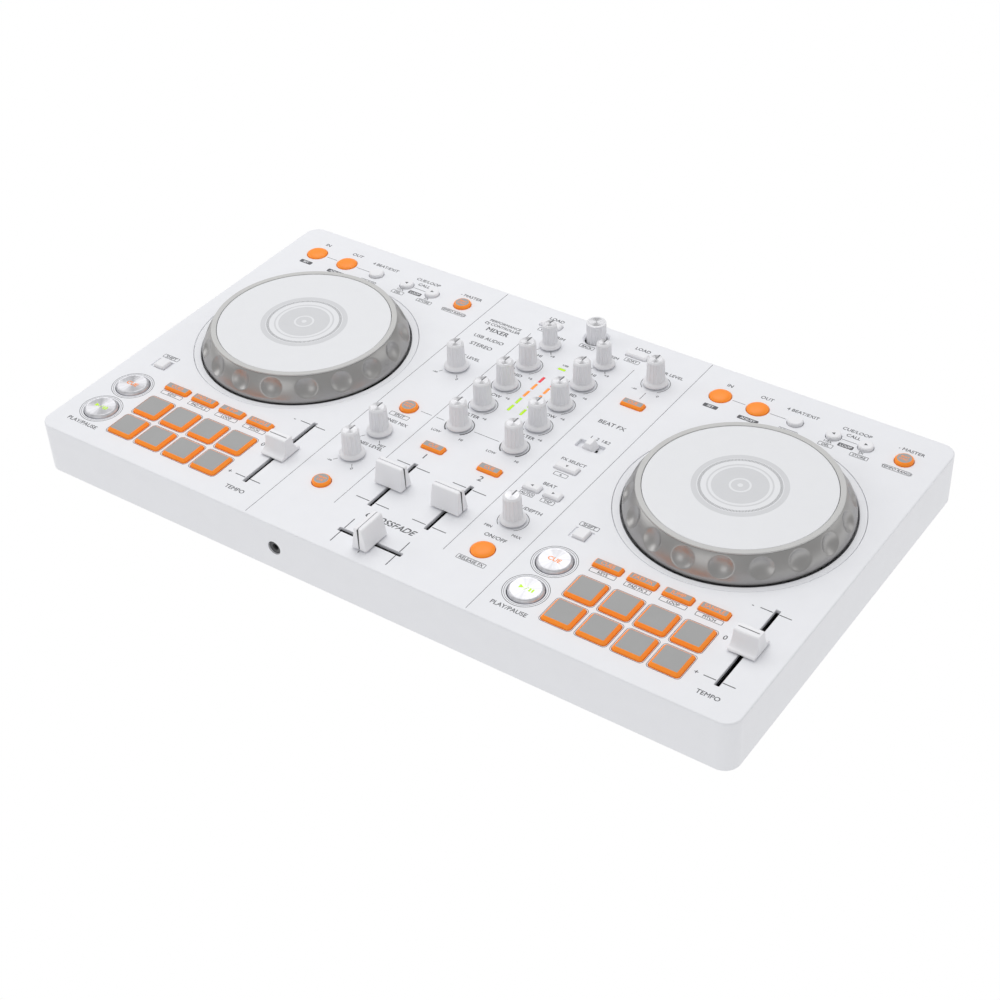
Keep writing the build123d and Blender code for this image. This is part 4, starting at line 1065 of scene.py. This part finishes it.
# Name of a knob, and its words at the low and the high end of its scale.
KNOB_WORDS = {"trim": ("TRIM", "-", "+9"), "high": ("HI", "", "+6"), "mid": ("MID", "", "+6"),
              "low": ("LOW", "", "+6"), "filter": ("FILTER", "LOW", "HI"),
              "mic_level": ("MIC LEVEL", "-∞", "0"), "headphone_mix": ("PHONES MIX", "CUE", "MST"),
              "headphone_level": ("PHONES LEVEL", "-∞", "0"),
              "master_level": ("MASTER LEVEL", "-∞", "0"),
              "effect_depth": ("LEVEL/DEPTH", "MIN", "MAX")}
TICKS_ONLY = ("trim", "mic_level", "headphone_mix", "headphone_level")
SWING = 144.0


def knob_print(name):
    """Words and scale round one knob."""
    x, y = middle(name)
    kind = name.split("_knob")[0]
    word, low, high = KNOB_WORDS[kind]
    r = 9.4 if kind == "trim" else 11.6
    shapes = [lettering(word, x, y + r + 1.0, 2.5)]
    if kind in TICKS_ONLY:
        shapes += [dial_tick(x, y, turn, r - 2.6, r + 0.2) for turn in (-SWING, SWING)]
    elif kind == "filter":
        shapes += [dial_arc(x, y, sign * 12, sign * SWING, taper=0.5) for sign in (-1, 1)]
    else:
        shapes.append(dial_arc(x, y, -SWING, SWING))
    for words, sign in ((low, -1), (high, 1)):
        if words:
            out = r * 0.59 + 0.9 * len(words)
            shapes.append(lettering(words, x + sign * out, y - r * 0.88 - 0.6, 1.9))
    return shapes


MIXER_WORDS = (("LOAD", -32.3, 123.0, 2.7), ("LOAD", 32.3, 123.0, 2.7),
               ("PERFORMANCE", -57.6, 101.2, 2.3), ("DJ CONTROLLER", -57.6, 97.6, 2.3),
               ("USB AUDIO", -57.6, 82.3, 2.9),
               ("STEREO", -57.6, 73.8, 3.2), ("BEAT FX", 57.0, 46.6, 3.3), ("1", 53.0, 30.4, 2.5),
               ("2", 57.3, 30.4, 2.5), ("1&2", 63.0, 30.4, 2.5), ("FX SELECT", 57.3, 4.4, 2.4),
               ("BEAT", 57.3, -20.7, 2.5), ("ON/OFF", 57.3, -75.5, 2.7), ("USB", 0.0, 83.4, 1.6),
               ("1", CHANNEL[1][0], -36.8, 4.4), ("2", CHANNEL[2][0], -36.8, 4.4))
MIXER_BOXES = (("VIEW", -32.3, 109.2, 10.6, 1.9), ("SORT", 32.3, 109.2, 10.6, 1.9),
               ("BACK", 0.0, 107.7, 10.6, 1.9), ("SPLIT", -57.0, -12.7, 14.0, 2.1),
               ("AUTO", 50.2, -34.0, 9.4, 1.9), ("TAP", 64.4, -34.0, 9.0, 1.9),
               ("RELEASE FX", 57.3, -98.9, 19.0, 2.1))
# Lines between the panels, and the short ones beside words: middle and size.
MIXER_LINES = ((-77.0, 0.2, 0.3, 263.5), (77.0, 0.2, 0.3, 263.5), (-38.5, 1.5, 0.3, 201.0),
               (38.5, 1.5, 0.3, 201.0), (-44.5, -2.2, 8.0, HAIR), (-34.0, -2.2, 6.0, HAIR),
               (0.0, -2.2, 18.0, HAIR), (57.2, 81.3, HAIR, 7.4))


def mixer_print():
    """Printed lines and words between the decks."""
    shapes = [bar(*line) for line in MIXER_LINES]
    for name in KNOBS:
        shapes += knob_print(name)
    shapes += [lettering(*word) for word in MIXER_WORDS]
    shapes.append(lettering("MIXER", -57.6, 92.0, 3.9, bold=0.2))
    shapes.append(lettering("CROSSFADE", 0.0, -97.0, 4.2, slant=0.3, bold=0.25))
    for box in MIXER_BOXES:
        shapes += boxed(*box, 3.6)
    shapes += [box_frame(57.3, -9.4, 9.2, 3.4), arrow(57.3, -9.5, 1.0, 90)]
    for x, y in CHANNEL.values():
        shapes += [bar(x + k * 7.0, y + mark, 9.4, LINE) for mark in (19.6, -19.4) for k in (-1, 1)]
    x, y = CROSS
    shapes += [bar(x + mark, y + k * 6.4, LINE, 9.4) for mark in (-19.4, 19.4) for k in (-1, 1)]
    shapes.append(bar(x, y - 10.3, LINE, 1.6))
    piece("mixer_print", shapes, print_grey, "case", flat=True)


# ---- CAD parts that stay ----
KEPT = {"bottom_case": tray_plastic, "rubber_feet": foot_rubber, "case_screws": steel,
        "circuit_boards": board_green, "potentiometers": steel, "fader_units": dark_steel,
        "jog_spindles": steel, "left_jog_carrier": black_plastic, "right_jog_carrier": black_plastic}

case_shell()
for side in SIDES:
    jog_wheel(side)
    tempo_cap(side)
    deck_keys(side)
    deck_print(side)
for name in KNOBS:
    knob(name)
browse_knob()
for n in (1, 2):
    mixer_cap(f"channel_fader_cap_{n}", f"channel_fader_{n}", *CHANNEL[n])
mixer_cap("crossfader_cap", "crossfader", *CROSS, across=True)
select_switch()
mixer_keys()
level_meter()
sockets()
mixer_print()
for name, material in KEPT.items():
    nodes[name].data.materials.clear()
    nodes[name].data.materials.append(material)

# ---- studio ----
FLOOR_HALF = 6
floor_mesh = bpy.data.meshes.new("floor")
corners = [(x * FLOOR_HALF, y * FLOOR_HALF, 0) for x, y in ((-1, -1), (1, -1), (1, 1), (-1, 1))]
floor_mesh.from_pydata(corners, [], [(0, 1, 2, 3)])
floor = bpy.data.objects.new("floor", floor_mesh)
floor_paper = finish("floor_paper", (0, 0, 0), 0.9, mottle=0.0, bump=0.0, specular=0.0)
feed(*nodes_of(floor_paper), {"Emission Color": (1, 1, 1, 1), "Emission Strength": 1.0})
floor_mesh.materials.append(floor_paper)
bpy.context.scene.collection.objects.link(floor)

scene = bpy.context.scene
scene.view_settings.view_transform = "Standard"
world = bpy.data.worlds.new("studio")
scene.world = world
world.use_nodes = True
feed(world.node_tree, world.node_tree.nodes["Background"], {"Color": (1, 1, 1, 1), "Strength": 0.55})


def softbox(name, place, size, power):
    """Square area light at place, in metres, that faces the middle of the floor."""
    light = bpy.data.lights.new(name, "AREA")
    light.energy = power
    light.shape = "SQUARE"
    light.size = size
    lamp = bpy.data.objects.new(name, light)
    lamp.location = place
    lamp.rotation_euler = (-Vector(place)).to_track_quat("-Z", "Y").to_euler()
    scene.collection.objects.link(lamp)


softbox("overhead", (-0.4, 0.5, 1.6), 1.6, 14)
softbox("left", (-1.6, -0.3, 0.9), 0.9, 3)
softbox("front", (0.1, -1.7, 0.9), 0.9, 2)
softbox("right_rear", (1.2, 1.3, 0.8), 0.9, 1.5)

AZIMUTH, ELEVATION, ROLL = (math.radians(angle) for angle in (35.742, 39.855, -2.4006))
AIM, DISTANCE = Vector((0.0652, -0.0630, case_high[2])), 1.05455
camera_data = bpy.data.cameras.new("camera")
camera = bpy.data.objects.new("camera", camera_data)
camera_data.sensor_width = 36.0
camera_data.lens = 67.99
camera_data.shift_x, camera_data.shift_y = -0.0225, 0.0275
back = Vector((math.sin(AZIMUTH) * math.cos(ELEVATION), -math.cos(AZIMUTH) * math.cos(ELEVATION),
               math.sin(ELEVATION)))
turn = back.to_track_quat("Z", "Y").to_matrix() @ Matrix.Rotation(ROLL, 3, "Z")
camera.matrix_world = Matrix.Translation(AIM + DISTANCE * back) @ turn.to_4x4()
scene.collection.objects.link(camera)
scene.camera = camera
